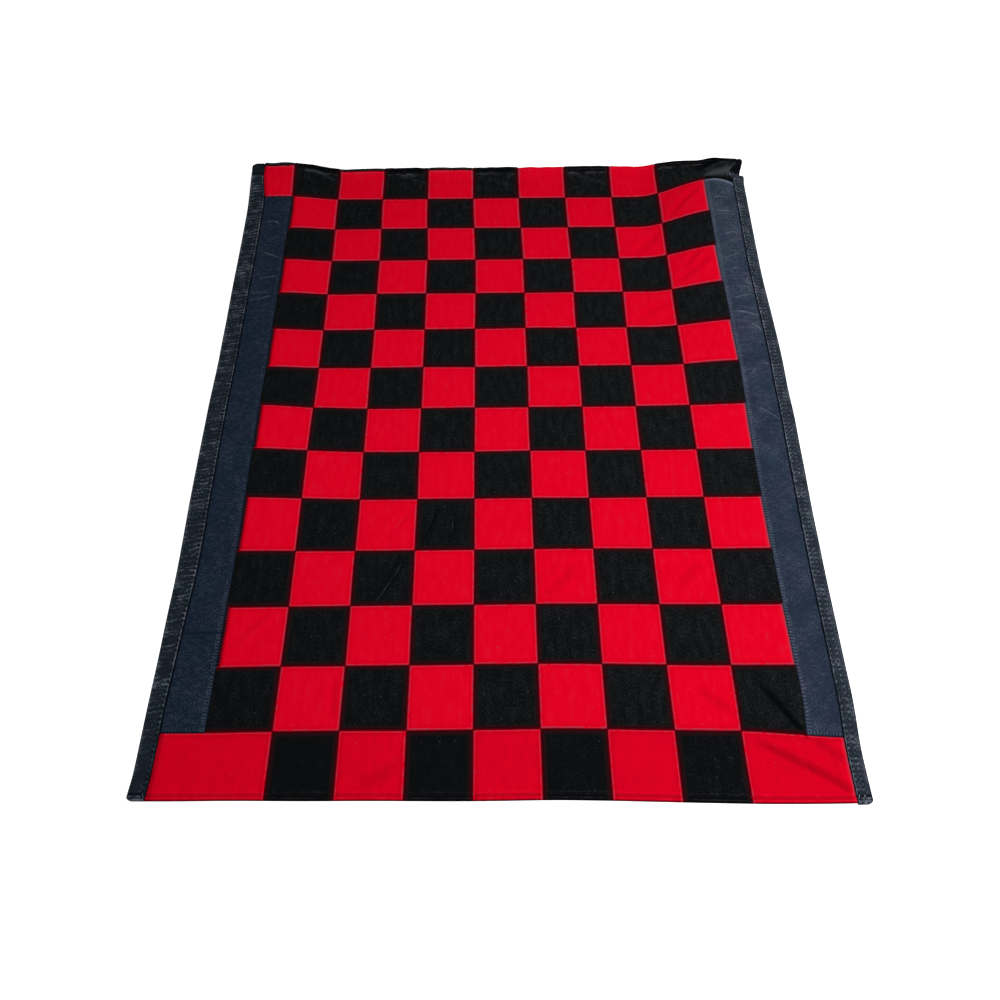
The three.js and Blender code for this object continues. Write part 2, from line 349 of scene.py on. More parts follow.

# Near hem: a puckered roll with two grooves, painted shade in them and at the edge, and worn nap with a
# painted highlight along the roll, at distances from its sewing or from the edge
HEM_PUCKERS = Wave(8.0, 30.0, 31.0)
HEM_ROLL_HEIGHT = 0.9
HEM_PUCKER_HEIGHT = 0.6
HEM_ROLL_EDGE = (1.0, -2.0)
HEM_GROOVES = (Line(0.0, 1.8, -1.6), Line(-4.0, 1.4, -0.9))
HEM_GROOVE_SHADES = (Line(0.0, 1.5, -0.25), Line(-4.0, 1.3, -0.25))
HEM_EDGE_SHADE = Line(0.0, 1.8, -0.8)
HEM_ROLL_SHADE = 0.10
HEM_SHADE_EDGE = (1.0, -1.0)
HEM_EDGE_NAP_AND_HIGHLIGHT = Line(4.4, 1.4, 0.45)
HEM_SEWING_NAP = Line(3.0, 1.6, 0.225)

# Far hem: a rippled roll that sinks left of the middle and ends at the right fold, with a painted highlight
# along the very edge of the black patches and painted shade near the edge and over the panel ends
FAR_ROLL = Line(4.0, 8.0, 2.5)
FAR_ROLL_END = (590.0, 520.0)
FAR_ROLL_GAP = Line(-40.0, 130.0, 1.0)
FAR_RIPPLE_WAVE = Wave(44.0, 44.0, 75.0)
FAR_RIPPLE = Line(4.0, 9.0, 2.0)
FAR_FLECK_WAVE = Wave(8.0, 11.0, 71.0)
FAR_FLECK_WEAR = 0.16
FAR_EDGE_HIGHLIGHT = Line(0.0, 1.4, 0.5)
FAR_EDGE_SHADE = 0.35
FAR_SHADE_EDGE = (20.0, 14.0)
FAR_END_SHADE = 0.8
FAR_END_EDGE = (8.0, 2.0)
FAR_END_SIDES = (HALF_FIELD, HALF_FIELD + 4.0)

# The far hem is rolled up to show black cloth on its left part, with a painted highlight on the roll and
# painted shade at its inner edge
LIP = 9.4
LIP_END = 60.0
LIP_FADE = 12.0
LIP_WAVE = Wave(24.0, 24.0, 39.0)
LIP_UNEVENNESS = 1.8
LIP_CORNER_EXTRA = 2.0
LIP_CORNER = (-HALF_FIELD, -HALF_FIELD - 25.0)
LIP_RIDGE = Line(3.6, 3.6, 2.0)
LIP_PUCKERS = 0.3
LIP_GROOVE = Line(2.0, 2.0, -1.2)
LIP_HIGHLIGHT = Line(6.0, 1.5, 0.6)
LIP_SHADE = Line(0.0, 1.6, -0.9)
LIP_RED_NAP = Line(3.0, 1.6, 0.8)

# The far hem gathers the black patches this far from the edge, with a painted highlight along the gathered
# ridge
GATHER = 22.0
GATHER_WAVE = Wave(30.0, 30.0, 33.0)
GATHER_DRIFT = 8.0
GATHERS = Breaks(Wave(45.0, 45.0, 35.0), 0.6, 1.3, 0.0, 1.0)
GATHER_RIDGE = Line(0.0, 3.0, 1.2)
GATHER_HIGHLIGHT = Line(0.0, 3.0, 0.75)

# Side panels: uneven outer edges, crinkles, rubs, painted shade along their edges, the join on the left with
# painted shade and the worn far end on the right
PANEL_EDGE_WAVE = Wave(26.0, 26.0, 43.0)
PANEL_EDGE_DRIFT = 0.7
CRINKLE_WAVE = Wave(13.0, 8.0, 41.0)
SLANT_WAVE = Wave(17.0, 7.0, 47.0)
SLANT_SHARE = 0.6
CRINKLE_SHARE = 0.3
CRINKLE_WEAR = 0.06
PANEL_RUBS = Breaks(Wave(7.0, 7.0, 49.0), 0.6, 0.9, 0.1, 1.0)
LEAST_DENIM = 0.9
PANEL_INNER_RIM = Rim(2.6, 0.45)
PANEL_OUTER_RIM = Rim(2.2, 0.2)
PANEL_END_RIM = Rim(2.6, 0.5)
PANEL_OUTER_SHADE = Line(0.0, 1.5, -1.6)
PANEL_INNER_SHADE = Line(0.0, 1.2, -0.8)
PANEL_END_SHADE = Line(0.0, 1.6, -0.8)
JOIN_DENT = Line(-563.0, 1.6, -0.6)
JOIN_SHADE = Line(-563.0, 1.4, -0.35)
FAR_RUB = Line(4.0, 3.0, 0.4)
FAR_RUB_BEND = 12.0
RIGHT_FADE = 0.07
RIGHT_FADE_STRETCH = (-300.0, 600.0)

# Marks of the overcasting on a panel, where the wear goes from the far part to the near one
TICK_WAVE = Wave(21.0, 21.0, 45.0)
TICK_DRIFT = 1.3
TICK_DENT = Line(5.4, 2.8, -0.4)
TICK_LINE = Line(5.4, 2.6, 0.22)
TICK_RUBS = (Line(5.4, 2.6, 0.10), Line(2.4, 1.2, 0.10), Line(9.6, 1.4, 0.08))
TICK_WEAR = {LEFT: (0.4, 0.85), RIGHT: (1.0, 1.0)}
TICK_GROWTH = (-350.0, -620.0)
END_TICK_LINE = Line(4.6, 2.6, 0.22)

# Puckers that the sewing draws up across the edge bands
PUCKER_SEED = 70
PUCKER_MARGIN = 40.0
PUCKER_STEP = (7.0, 14.0)
PUCKER_STRENGTH = (0.4, 1.0)
PUCKER_SLANT = 0.18
PUCKER_WAVE = Wave(16.0, 40.0, 59.0)
PUCKER_BEND = 4.0
PUCKER_HALF_WIDTH = 1.9
PUCKER_START = (1.5, 6.0)
PUCKER_REACH = {LEFT: (70.0, 60.0), RIGHT: (24.0, 14.0)}
PUCKER_SINK = 0.4
PUCKER_WEAR = {LEFT: 0.42, RIGHT: 0.3}
PUCKER_FAR_WEAR = 0.2
PUCKER_FAR_STRETCH = (100.0, 600.0)

# Wear of the edge bands, where the fold's worn line goes from the near end to the rest, with painted shade
# beside the fold and along the outer edge
BAND_DASHES = Breaks(Wave(17.0, 6.0, 65.0), 0.7, 1.0, 0.25, 1.1)
BAND_CLOUDS = Wave(20.0, 26.0, 69.0)
BAND_CLOUD_WEAR = 0.22
GRAIN = Wave(3.8, 3.2, 53.0)
GRAIN_HEIGHT = 0.3
GRAIN_WEAR = 0.32
SPECKS = Breaks(Wave(4.6, 4.0, 57.0), -0.1, 1.0, 0.0, 1.0)
SPECK_EDGE = (3.0, 18.0)
SPECK_WEAR = {LEFT: 0.16, RIGHT: 0.18}
BAND_BASE_WEAR = {LEFT: -0.12, RIGHT: -0.10}
BAND_OUTER_WEAR = {LEFT: 0.0, RIGHT: 0.08}
BAND_OUTER_EDGE = (12.0, 22.0)
NEAR_CALM = {LEFT: 0.5, RIGHT: 0.0}
CALM_STRETCH = (-690.0, -800.0)
FOLD_NAP = Line(2.3, 0.9, 1.0)
FOLD_WEAR = {LEFT: (0.3, 0.8), RIGHT: (0.9, 0.8)}
FOLD_STRETCH = (-800.0, -700.0)
FOLD_SHADE = Line(0.0, 1.0, -1.4)
OUTER_NAP = Line(4.0, 1.6, 0.15)
OUTER_SHADE = Line(0.0, 1.8, -0.8)

# Edges and corners of the bands
LEAST_BAND = 1.4
BAND_FOLD_RIM = Rim(2.0, 0.15)
BAND_OUTER_RIM = Rim(3.2, 0.2)
BAND_END_RIM = Rim(2.6, 0.3)
CORNER_RADIUS = 12.0
FAR_RADIUS = {LEFT: 24.0, RIGHT: 12.0}

# Near ends of the bands, turned over and sewn down, at distances from the end
NEAR_TURN = 11.0
NEAR_TURN_EDGE = (NEAR_TURN, NEAR_TURN - 3.0)
NEAR_TURN_HEIGHT = 0.9
NEAR_TURN_GROOVES = (Line(NEAR_TURN + 1.0, 1.8, -1.8), Line(NEAR_TURN / 2, 1.4, -0.8))
NEAR_TURN_SHADES = (Line(NEAR_TURN + 1.0, 1.6, -1.0), Line(NEAR_TURN / 2, 1.3, -0.5))
NEAR_LUMPS = Breaks(Wave(6.0, 24.0, 67.0), 0.5, 1.5, 0.0, 1.0)
NEAR_END_WEAR = {LEFT: 0.5, RIGHT: 0.65}
NEAR_OVERHANG = {LEFT: 0.0, RIGHT: 2.5}
OVERHANG_STRETCH = (40.0 - HALF_LENGTH, -HALF_LENGTH)

# Far ends of the bands: a crease with a painted highlight and painted shade and a lump on the left, a tip
# with painted shade on the right
FAR_CREASE = 846.0
FAR_CREASE_RELIEF = (Line(FAR_CREASE, 2.6, -2.0), Line(FAR_CREASE + 28.0, 16.0, 3.5))
FAR_CREASE_SHADING = (Line(FAR_CREASE - 8.0, 2.2, 0.3), Line(FAR_CREASE, 2.2, -0.9))
FAR_CREASE_SHADE = 0.4
FAR_CREASE_STRETCH = (FAR_CREASE, FAR_CREASE + 4.0)
TIP_SHADE = 1.6
TIP_STRETCH = (BAND_TIP_FROM, BAND_TIP_FROM + 12.0)

# Topstitching, in rows from the folded edge of a band, with its dents and needle holes, and painted shade in
# the holes
TOPSTITCH_ROWS = {LEFT: (5.5,), RIGHT: (6.0, 16.5)}
TOPSTITCH_FIRST = 4.0 - HALF_LENGTH
TOPSTITCH_LAST = {LEFT: HALF_LENGTH - 14.0, RIGHT: BAND_TIP_FROM - 4.0}
TOPSTITCH_ENDS = (0.22, 0.78)
TOPSTITCH_SINK = 0.4
SINK_WAVE = Wave(1.7, 1.7, 73.0)
SINK_SWING = 0.25
STITCH_DENT = 0.4
HOLE_DENT = 0.8
DENT_HALF_WIDTH = 1.8
STITCH_WEAR = {LEFT: 0.1, RIGHT: 0.22}
HOLE_SHADE = {LEFT: 1.1, RIGHT: 0.8}
STITCH_HALF_WIDTH = 2.0

# Overcasting, from the inner edge of a panel: it reaches over the red patches and stays off the black ones
OVERCAST_OVER_RED = {LEFT: -7.0, RIGHT: -5.5}
OVERCAST_BY_BLACK = 1.5
OVERCAST_END = 8.0
OVERCAST_WAVE = Wave(9.0, 9.0, 61.0)
OVERCAST_SWING = 0.8
OVERCAST_SLANT = 1.2
OVERCAST_SINK = 0.2

# Hem stitches
HEM_LEFT_MARGIN = 4.0
HEM_RIGHT_MARGIN = 6.0
HEM_STITCH_SHARE = 0.7
HEM_STITCH_SINK = 0.3
HEM_THREAD_SHARE = 0.8

# Sizes in the finishes, in millimetres, and how strongly they show
RED_PILE = Pile(0.15, 0.08, 0.06, (0.9, 0.01, 0.04))
BLACK_PILE = Pile(0.18, 0.34, 0.015, (0.5, 0.52, 0.5))
PILE_CLUMP = (13.0, 42.0)
PILE_FIBRE = (2.0, 5.0)
LINT_SPACING = 30.0
LINT_RADIUS = 1.0
LINT_CHOSEN = 0.72
LINT_WEAR = 0.3
PANEL_WASH = {LEFT: Wash(0.3, 0.06, 70.0), RIGHT: Wash(0.38, 0.14, 70.0)}
BAND_WASH = Wash(0.4, 0.14, 28.0)
TWILL_SPACING = 3.0
TWILL_ANGLE = 62.0
WAVE_SPACING = 2.0 * math.pi / 20.0  # of the wave texture's bands at a scale of 1
TWILL_WEAR = 0.04
WEFT_FLECK = (2.6, 3.4)
FADE_SIZE = 55.0
CLOUD_TINTS = ((0.6, 1.06, 0.92), (1.0, 1.0, 1.0), (1.45, 0.95, 1.08))
PLY_SIZE = 1.5
RELIEF_DEPTH = 0.6
FLOOR_CLOUD = 700.0

# The floor sheet and the lamps, in metres and watts
FLOOR_HALF_WIDTH = 12.0
FLOOR_DROP = 0.6 * MM
FLOOR_GLOW = 0.75
FLOOR_DULL = 0.985
KEY_LAMP = Lamp(127.0, 1.8, (0.90, -0.56, 2.72))
FILL_LAMP = Lamp(12.0, 4.0, (-1.6, 0.6, 3.4))
ROOM_LIGHT = 0.14

# The camera in millimetres and degrees, from the middle of the patches on the floor
CAMERA_ACROSS = -16.0
CAMERA_BACK = -1260.4
CAMERA_HEIGHT = 1606.1
CAMERA_PITCH = 57.69
CAMERA_YAW = -0.50
CAMERA_ROLL = -0.19
CAMERA_LENS = 30.96
CAMERA_SENSOR = 36.0


def linear(code):
    """Turns an sRGB hex colour into linear red, green and blue."""
    shares = [int(code[i:i + 2], 16) / 255 for i in (0, 2, 4)]
    return tuple(s / 12.92 if s <= 0.04045 else ((s + 0.055) / 1.055) ** 2.4 for s in shares)


def size_property(name, description, millimetres):
    """A length that a user may change."""
    return FloatProperty(
        name=name,
        description=description,
        default=millimetres * MM,
        min=0.0,
        precision=4,
        subtype="DISTANCE",
        unit="LENGTH",
    )


def colour_property(name, description, code):
    """A colour that a user may change."""
    return FloatVectorProperty(
        name=name,
        description=description,
        default=linear(code),
        min=0.0,
        max=1.0,
        size=3,
        subtype="COLOR",
    )


class QuiltSizes(bpy.types.PropertyGroup):
    """Sizes of the cloth and its sewing."""

    flannel: size_property("Flannel", "Thickness of the patchwork inside a patch", 3.2)
    seam: size_property("Seam", "Depth of the groove where two patches meet", 1.3)
    allowance: size_property("Seam allowance", "Height of the layers pressed under a black patch", 0.45)
    denim: size_property("Denim", "Thickness of the side panels", 2.6)
    crinkle: size_property("Crinkle", "Height of the fine creases in the side panels", 0.9)
    band: size_property("Band", "Thickness of the folded edge bands", 4.2)
    pucker: size_property("Pucker", "Height of the ridges that the sewing draws up in the bands", 1.1)
    hem: size_property("Hem", "Distance of the hem's sewing from the edge", 11.5)
    thread: size_property("Thread", "Diameter of the sewing thread", 1.0)
    topthread: size_property("Topstitch thread", "Width of the doubled thread along the bands", 2.0)
    topstitch: size_property("Topstitch", "Spacing of the stitches along the bands", 10.5)
    overcast: size_property("Overcast", "Spacing of the stitches along the panels' inner edges", 6.6)
    hemstitch: size_property("Hem stitch", "Spacing of the stitches along the hems", 4.2)


class QuiltColours(bpy.types.PropertyGroup):
    """Colours of the cloth and thread."""

    red: colour_property("Red flannel", "Colour of the red patches", "bc011b")
    # Painted shade: the red flannel down in its seams and creases
    red_seam_shade: colour_property("Red seam", "Colour of the red flannel down in its seams", "140305")
    # Also the painted highlights of the fine creases
    red_nap_and_highlight: colour_property("Red nap", "Colour of the brushed-up nap on the red patches", "6e384c")
    black: colour_property("Black flannel", "Colour of the black patches", "090a0b")
    black_shade: colour_property("Black shade", "Colour of the black flannel down in its creases", "020304")
    # Red cloth turned down into the seams beside the black, with painted shade
    black_seam_shade: colour_property("Black seam", "Colour of the black flannel in its seams", "1e0b0e")
    # Also the painted highlights on the crinkles, gathers and edge of the far row and on the far right fold
    black_nap_and_highlight: colour_property("Black nap", "Colour of the brushed-up nap on the black patches", "3a3d3f")
    dark_denim: colour_property("Dark denim", "Colour of the left panel", "0d1826")
    faded_denim: colour_property("Faded denim", "Colour of the right panel", "1b2433")
    dark_band: colour_property("Dark band", "Colour of the left edge band", "151c23")
    faded_band: colour_property("Faded band", "Colour of the right edge band", "20262e")
    # Also the painted shade in the grooves, seams and needle holes of the denim
    indigo_and_shade: colour_property("Fresh indigo", "Colour of the denim where it never wore", "05070b")
    worn: colour_property("Worn denim", "Colour of the denim where it wore pale", "727985")
    thread: colour_property("Dark thread", "Colour of the overcasting thread", "434352")
    hem_thread: colour_property("Hem thread", "Colour of the hem thread", "5e4a52")
    grey_thread: colour_property("Grey thread", "Colour of the left band's topstitching", "2a3038")
    pale_thread: colour_property("Pale thread", "Colour of the right band's topstitching", "747b86")
    floor: colour_property("Floor", "Colour of the floor", "c4c4c4")


def ramp(start, end, value):
    """Goes softly from 0 at start to 1 at end."""
    share = np.clip((value - start) / (end - start), 0.0, 1.0)
    return share * share * (3.0 - 2.0 * share)


def rounded(distance, radius):
    """Rises in a quarter circle from 0 at an edge to 1 at the radius."""
    share = 1.0 - np.clip(distance / radius, 0.0, 1.0)
    return np.sqrt(1.0 - share * share)


def hump(distance, half_width):
    """A soft hump that is 1 in the middle."""
    return np.exp(-((distance / half_width) ** 2))


def waves(wave, u, v, offset=0):
    """Smooth unevenness between about -1 and 1, with waves of the given sizes."""
    points = zip(u / wave.u_size, v / wave.v_size)
    return np.array([noise.noise(Vector((a, b, wave.seed + offset))) for a, b in points])


def broken(breaks, u, v, offset=0):
    """Uneven strength that comes and goes between its least and its most."""
    strength = breaks.middle + breaks.swing * waves(breaks.wave, u, v, offset)
    return np.clip(strength, breaks.least, breaks.most)


def between(pair, share):
    """Goes from the first value of a pair to the second."""
    return pair[0] + (pair[1] - pair[0]) * share


def line_at(line, distance):
    """What a soft line adds at a distance from its edge."""
    return line.amount * hump(distance - line.place, line.half_width)


def lines_at(several, distance):
    """What several soft lines add together."""
    return sum(line_at(line, distance) for line in several)


def rimmed(rim, distance):
    """Share of its height that the cloth keeps near a rounded edge."""
    return rim.least + (1.0 - rim.least) * rounded(distance, rim.radius)


def grown(row, u, v):
    """How much of a shift or lift has grown at a point of the flat cloth."""
    return ramp(row.u_from, row.u_to, u) * ramp(row.v_from, row.v_to, v)


def spread_on_floor(u, v):
    """Where a point of the flat cloth lies on the floor, and how high its underside is."""
    along = v / HALF_LENGTH
    x = u * (1.0 + FAR_FLARE * along + END_SPREAD * along**2)
    y = v + ROW_DRIFT * (1.0 - along**2)
    for shift in SHIFTS:
        x = x + shift.dx * grown(shift, u, v)
        y = y + shift.dy * grown(shift, u, v)
    z = np.zeros_like(x)
    for lift in LIFTS:
        z = z + lift.rise * grown(lift, u, v)
    for swell in SWELLS:
        away = ((u - swell.u) / swell.u_reach) ** 2 + ((v - swell.v) / swell.v_reach) ** 2
        z = z + swell.rise * np.maximum(0.0, 1.0 - away) ** 2
    return x, y, np.maximum(0.0, z)


def panel_width(side, v):
    """Distance of a band's seam from the patches, which grows at both left ends and at the far right tip."""
    if side == LEFT:
        near = PANEL_NEAR_EXTRA * ramp(PANEL_EXTRA_FROM, -PANEL_END, v)
        return PANEL_WIDTH + near + PANEL_FAR_EXTRA * ramp(PANEL_FAR_FROM, PANEL_FAR_TO, v)
    return PANEL_WIDTH + BAND_TIP_PINCH * ramp(BAND_TIP_FROM, BAND_TIP_TO, v)


def outline_middle():
    """Place of the flat cloth's middle in the frame, from the frame's own box."""
    v = np.linspace(-HALF_LENGTH, HALF_LENGTH, OUTLINE_POINTS)
    u = np.linspace(-HALF_FIELD - SIDE_WIDTH[LEFT], HALF_FIELD + SIDE_WIDTH[RIGHT], OUTLINE_POINTS)
    left = spread_on_floor(np.full_like(v, u[0]), v)[0]
    near = spread_on_floor(u, np.full_like(u, v[0]))[1]
    return CAD_LOW.x / MM - left.min(), CAD_LOW.y / MM - near.min()


MIDDLE_X, MIDDLE_Y = outline_middle()


def placed(u, v, height):
    """Points in the frame, in metres, at a height over the underside of the cloth."""
    x, y, z = spread_on_floor(u, v)
    x = x + WANDER_DRIFT * waves(WANDER_ACROSS, u, v) + MIDDLE_X
    y = y + WANDER_DRIFT * waves(WANDER_ALONG, u, v) + MIDDLE_Y
    return np.column_stack((x, y, z + height)) * MM


def creased(crease, u, v):
    """Height and painted shading of one crease, which pushes up soft banks on both sides and fades at its
    ends.
    """
    run = np.array((crease.u2 - crease.u1, crease.v2 - crease.v1))
    length = np.hypot(*run)
    along = ((u - crease.u1) * run[0] + (v - crease.v1) * run[1]) / length**2
    aside = ((v - crease.v1) * run[0] - (u - crease.u1) * run[1]) / length
    bent = aside - crease.bow * 4.0 * along * (1.0 - along)
    width = crease.half_width
    ends = ramp(*CREASE_FADE_IN, along) * ramp(*CREASE_FADE_OUT, along)
    trough = hump(bent, width)
    banks = hump(bent - BANK_PLACE * width, width) + hump(bent + BANK_PLACE * width, width)
    return crease.rise * ends * (trough - BANK_HEIGHT * banks), crease.shade * ends * trough


def lie(u, v):
    """Height that the creases and the roll of the cloth add, in millimetres, and their painted shade and
    highlights.
    """
    height = ROLL_HEIGHT * waves(ROLL, u, v)
    height += RUMPLE_HEIGHT * waves(RUMPLE, u, v)
    shade = np.zeros_like(u)
    for crease in CREASES:
        rise, dark = creased(crease, u, v)
        height += rise
        shade += dark
    # Patches of painted shade
    for tint in PAINTED_SHADE_PATCHES:
        away = ((u - tint.u) / tint.u_reach) ** 2 + ((v - tint.v) / tint.v_reach) ** 2
        shade += tint.shade * np.maximum(0.0, 1.0 - away) ** 2
    return height, shade


def at_least(height, least):
    """Keeps a height above its least, with a soft bend."""
    over = height - least
    return least + 0.5 * (over + np.sqrt(over * over + SOFT_BEND))


def patch_at(u, v):
    """Column and row of the patch at a point, -1 and 9 being the ends over the panels."""
    column = np.floor((u + HALF_FIELD) / PATCH)
    row = np.clip(np.floor((HALF_LENGTH - v) / PATCH), 0, ROWS - 1)
    end_row = np.where(v > 0.0, 0, ROWS - 1)
    return np.clip(column, -1, COLUMNS), np.where(np.abs(u) > HALF_FIELD, end_row, row)


def is_red(u, v):
    """True on the red patches. Only the far left end is a patch of its own, the others go with the next."""
    column, row = patch_at(u, v)
    far_left = (row == 0) & (column < 0)
    own = np.where(far_left, -1, np.clip(column, 0, COLUMNS - 1))
    return (own + row) % 2 == 1


def row_seam_distance(v):
    """Distance to the nearest seam between two rows."""
    nearest = np.clip(np.round((v + HALF_LENGTH) / PATCH), 1, ROWS - 1) * PATCH - HALF_LENGTH
    return np.abs(v - nearest)


def seam_distance(u, v):
    """Distance to the nearest seam of the patchwork."""
    row = patch_at(u, v)[1]
    nearest_u = np.round((np.clip(u, -HALF_FIELD, HALF_FIELD) + HALF_FIELD) / PATCH) * PATCH - HALF_FIELD
    uncut_right = (nearest_u > HALF_FIELD - 1.0) & ((row == 0) | (row == ROWS - 1))
    uncut_left = (nearest_u < 1.0 - HALF_FIELD) & (row == ROWS - 1)
    across = np.where(uncut_right | uncut_left, PATCH, np.abs(u - nearest_u))
    return np.minimum(across, row_seam_distance(v))


def turned_distance(u, v):
    """Distance to the nearest seam between two patches, which leaves out the seams along the panels."""
    beside_panel = (np.abs(v) < PANEL_END) & (np.abs(u) > HALF_FIELD - PATCH / 4)
    nearest = np.where(beside_panel, row_seam_distance(v), seam_distance(u, v))
    return np.where(np.abs(u) > HALF_FIELD, PATCH, nearest)


def outer_distance(u, v):
    """Distance to the seam of the nearer edge band."""
    left = u + HALF_FIELD + panel_width(LEFT, v)
    right = HALF_FIELD + panel_width(RIGHT, v) - u
    return np.minimum(left, right)


def denim_distance(u, v):
    """Distance to the nearest denim: a side panel, or an edge band beyond the ends of the panels."""
    return np.where(np.abs(v) < PANEL_END, HALF_FIELD - np.abs(u), outer_distance(u, v))


def red_turn(v):
    """How far the red cloth shows on the black side of a seam, further in the far rows."""
    return RED_TURN * (1.0 + RED_TURN_GROWTH * ramp(*RED_TURN_STRETCH, v))


def seam_shade_depth(u, v):
    """How far the cloth has gone down into a seam, from 0 to 1, with the red on the black side: the share of
    painted shade from the seam colour.
    """
    turn = red_turn(v)
    turned = turned_distance(u, v)
    away = ramp(*WHOLE_LENGTH, v)
    by_column = row_seam_distance(v) > turned
    reach = np.where(by_column, between(COLUMN_SEAM_REACH, away), between(ROW_SEAM_REACH, away))
    black_side = ramp(turn + reach, turn + SEAM_FULL_FROM, turned)
    black_side *= 1.0 - SEAM_EASE * ramp(turn, 0.0, turned)
    return np.where(is_red(u, v), line_at(RED_SEAM_SHADE, seam_distance(u, v)), black_side)


def lip_width(u):
    """Uneven width of the black cloth that the far hem rolls up to the top side."""
    return LIP + LIP_UNEVENNESS * waves(LIP_WAVE, u, u) + LIP_CORNER_EXTRA * ramp(*LIP_CORNER, u)


def is_lip(u, v):
    """True on the rolled-up black cloth of the far hem, which ends at LIP_END."""
    return (v > HALF_LENGTH - lip_width(u)) & (u < LIP_END)


def near_hem(sizes, edge, puckers, rubbed):
    """Height, worn nap, painted shade and a painted highlight of the near hem at a distance from its edge.
    """
    inside = edge - sizes.hem / MM
    height = (HEM_ROLL_HEIGHT + HEM_PUCKER_HEIGHT * puckers) * ramp(*HEM_ROLL_EDGE, inside)
    height += lines_at(HEM_GROOVES, inside)
    wear = lines_at(HEM_GROOVE_SHADES, inside) + line_at(HEM_EDGE_SHADE, edge)
    wear -= HEM_ROLL_SHADE * ramp(*HEM_SHADE_EDGE, inside)
    wear += rubbed * (line_at(HEM_EDGE_NAP_AND_HIGHLIGHT, edge) + line_at(HEM_SEWING_NAP, inside))
    return height, wear


def far_hem(u, v, edge, puckers, rubbed):
    """Height, flecks, nap, painted shade and painted highlights of the far hem: its roll, the black lip and
    the gathered black patches.
    """
    red = is_red(u, v)
    black = np.where(red, 0.0, 1.0)
    lip = ramp(LIP_END + LIP_FADE, LIP_END, u)
    lip_edge = edge - lip_width(u)
    gathers = black * broken(GATHERS, u, u)
    gather_line = edge - GATHER - GATHER_DRIFT * waves(GATHER_WAVE, u, u)
    height = line_at(FAR_ROLL, edge) * ramp(*FAR_ROLL_END, u) * (1.0 - line_at(FAR_ROLL_GAP, u))
    ridge = (1.0 + LIP_PUCKERS * puckers) * line_at(LIP_RIDGE, edge)
    height += lip * (ridge + line_at(LIP_GROOVE, lip_edge))
    height += gathers * line_at(GATHER_RIDGE, gather_line)
    height += waves(FAR_RIPPLE_WAVE, u, u) * line_at(FAR_RIPPLE, edge)
    wear = FAR_FLECK_WEAR * black * waves(FAR_FLECK_WAVE, u, v)
    over_panel = ramp(*FAR_END_EDGE, v - PANEL_END) * ramp(*FAR_END_SIDES, np.abs(u))
    wear -= FAR_END_SHADE * black * over_panel
    wear += lip * (rubbed * line_at(LIP_HIGHLIGHT, edge) + line_at(LIP_SHADE, lip_edge))
    wear += lip * np.where(red, rubbed * line_at(LIP_RED_NAP, lip_edge), 0.0)
    wear += gathers * rubbed * line_at(GATHER_HIGHLIGHT, gather_line)
    wear += black * (rubbed * line_at(FAR_EDGE_HIGHLIGHT, edge) - FAR_EDGE_SHADE * ramp(*FAR_SHADE_EDGE, edge))
    return height, wear


def red_edges(u, v, seam, rubbed):
    """Wear of the red patches: pale nap and painted shade along their seams, and edges beside the denim,
    with painted shade beside the left denim.
    """
    away = ramp(*WHOLE_LENGTH, v)
    by_denim = ramp(*BESIDE_DENIM, denim_distance(u, v))
    napped = np.where(u < 0.0, 1.0 - by_denim, 1.0)
    nap_line = hump(seam - between(NAP_PLACE, away), between(NAP_HALF_WIDTH, away))
    shaded_border = ramp(between(EDGE_SHADE_FROM, away), between(EDGE_SHADE_TO, away), seam)
    left_shade = np.where(np.abs(v) < PANEL_END, LEFT_PANEL_SHADE, LEFT_BAND_SHADE)
    wear = NAP_WEAR * rubbed * napped * nap_line - EDGE_SHADE * shaded_border
    return wear + np.where(u < 0.0, left_shade, RIGHT_DENIM_NAP) * by_denim


def patchwork_top(sizes, u, v):
    """Height of the patchwork over its underside, and its wear, which holds worn nap, painted shade and
    painted light.
    """
    red = is_red(u, v)
    seam = seam_distance(u, v)
    edge = HALF_LENGTH - np.abs(v)
    side_edge = outer_distance(u, v)
    near = ramp(*NEAR_ROW, v)
    far = ramp(*FAR_ROW, v)
    puckers = waves(HEM_PUCKERS, u, v)
    rubbed = broken(SEAM_RUBS, u, v)
    rise, shade = lie(u, v)
    near_height, near_wear_and_shade = near_hem(sizes, edge, puckers, rubbed)
    far_height, far_wear_and_shade = far_hem(u, v, edge, puckers, rubbed)
    height = sizes.flannel / MM + rise + near * near_height + far * far_height
    height += np.where(red, 0.0, sizes.allowance / MM) * ramp(*ALLOWANCE_EDGE, seam)
    height += PUFF_HEIGHT * ramp(*PUFF_EDGE, seam) - sizes.seam / MM * hump(seam, GROOVE_HALF_WIDTH)
    height = at_least(height, LEAST_FLANNEL)
    height *= rimmed(PATCH_END_RIM, edge) * rimmed(PATCH_SIDE_RIM, side_edge)
    # Painted light: the black patches grow paler to the right
    black_wear_and_light = BLACK_WEAR + BLACK_RIGHT_PAINTED_LIGHT * u / HALF_FIELD
    wear = shade + near * near_wear_and_shade + far * far_wear_and_shade
    wear += np.where(red, red_edges(u, v, seam, rubbed), black_wear_and_light)
    wear += np.where(u < 0.0, LEFT_SIDE_NAP, 1.0) * rubbed * line_at(SIDE_NAP, side_edge)
    wear += line_at(SIDE_SHADE, side_edge)
    # Painted shade over the near row of patches
    wear -= np.where(red, NEAR_RED_SHADE, NEAR_BLACK_SHADE) * ramp(*NEAR_PATCHES, v)
    return height, wear


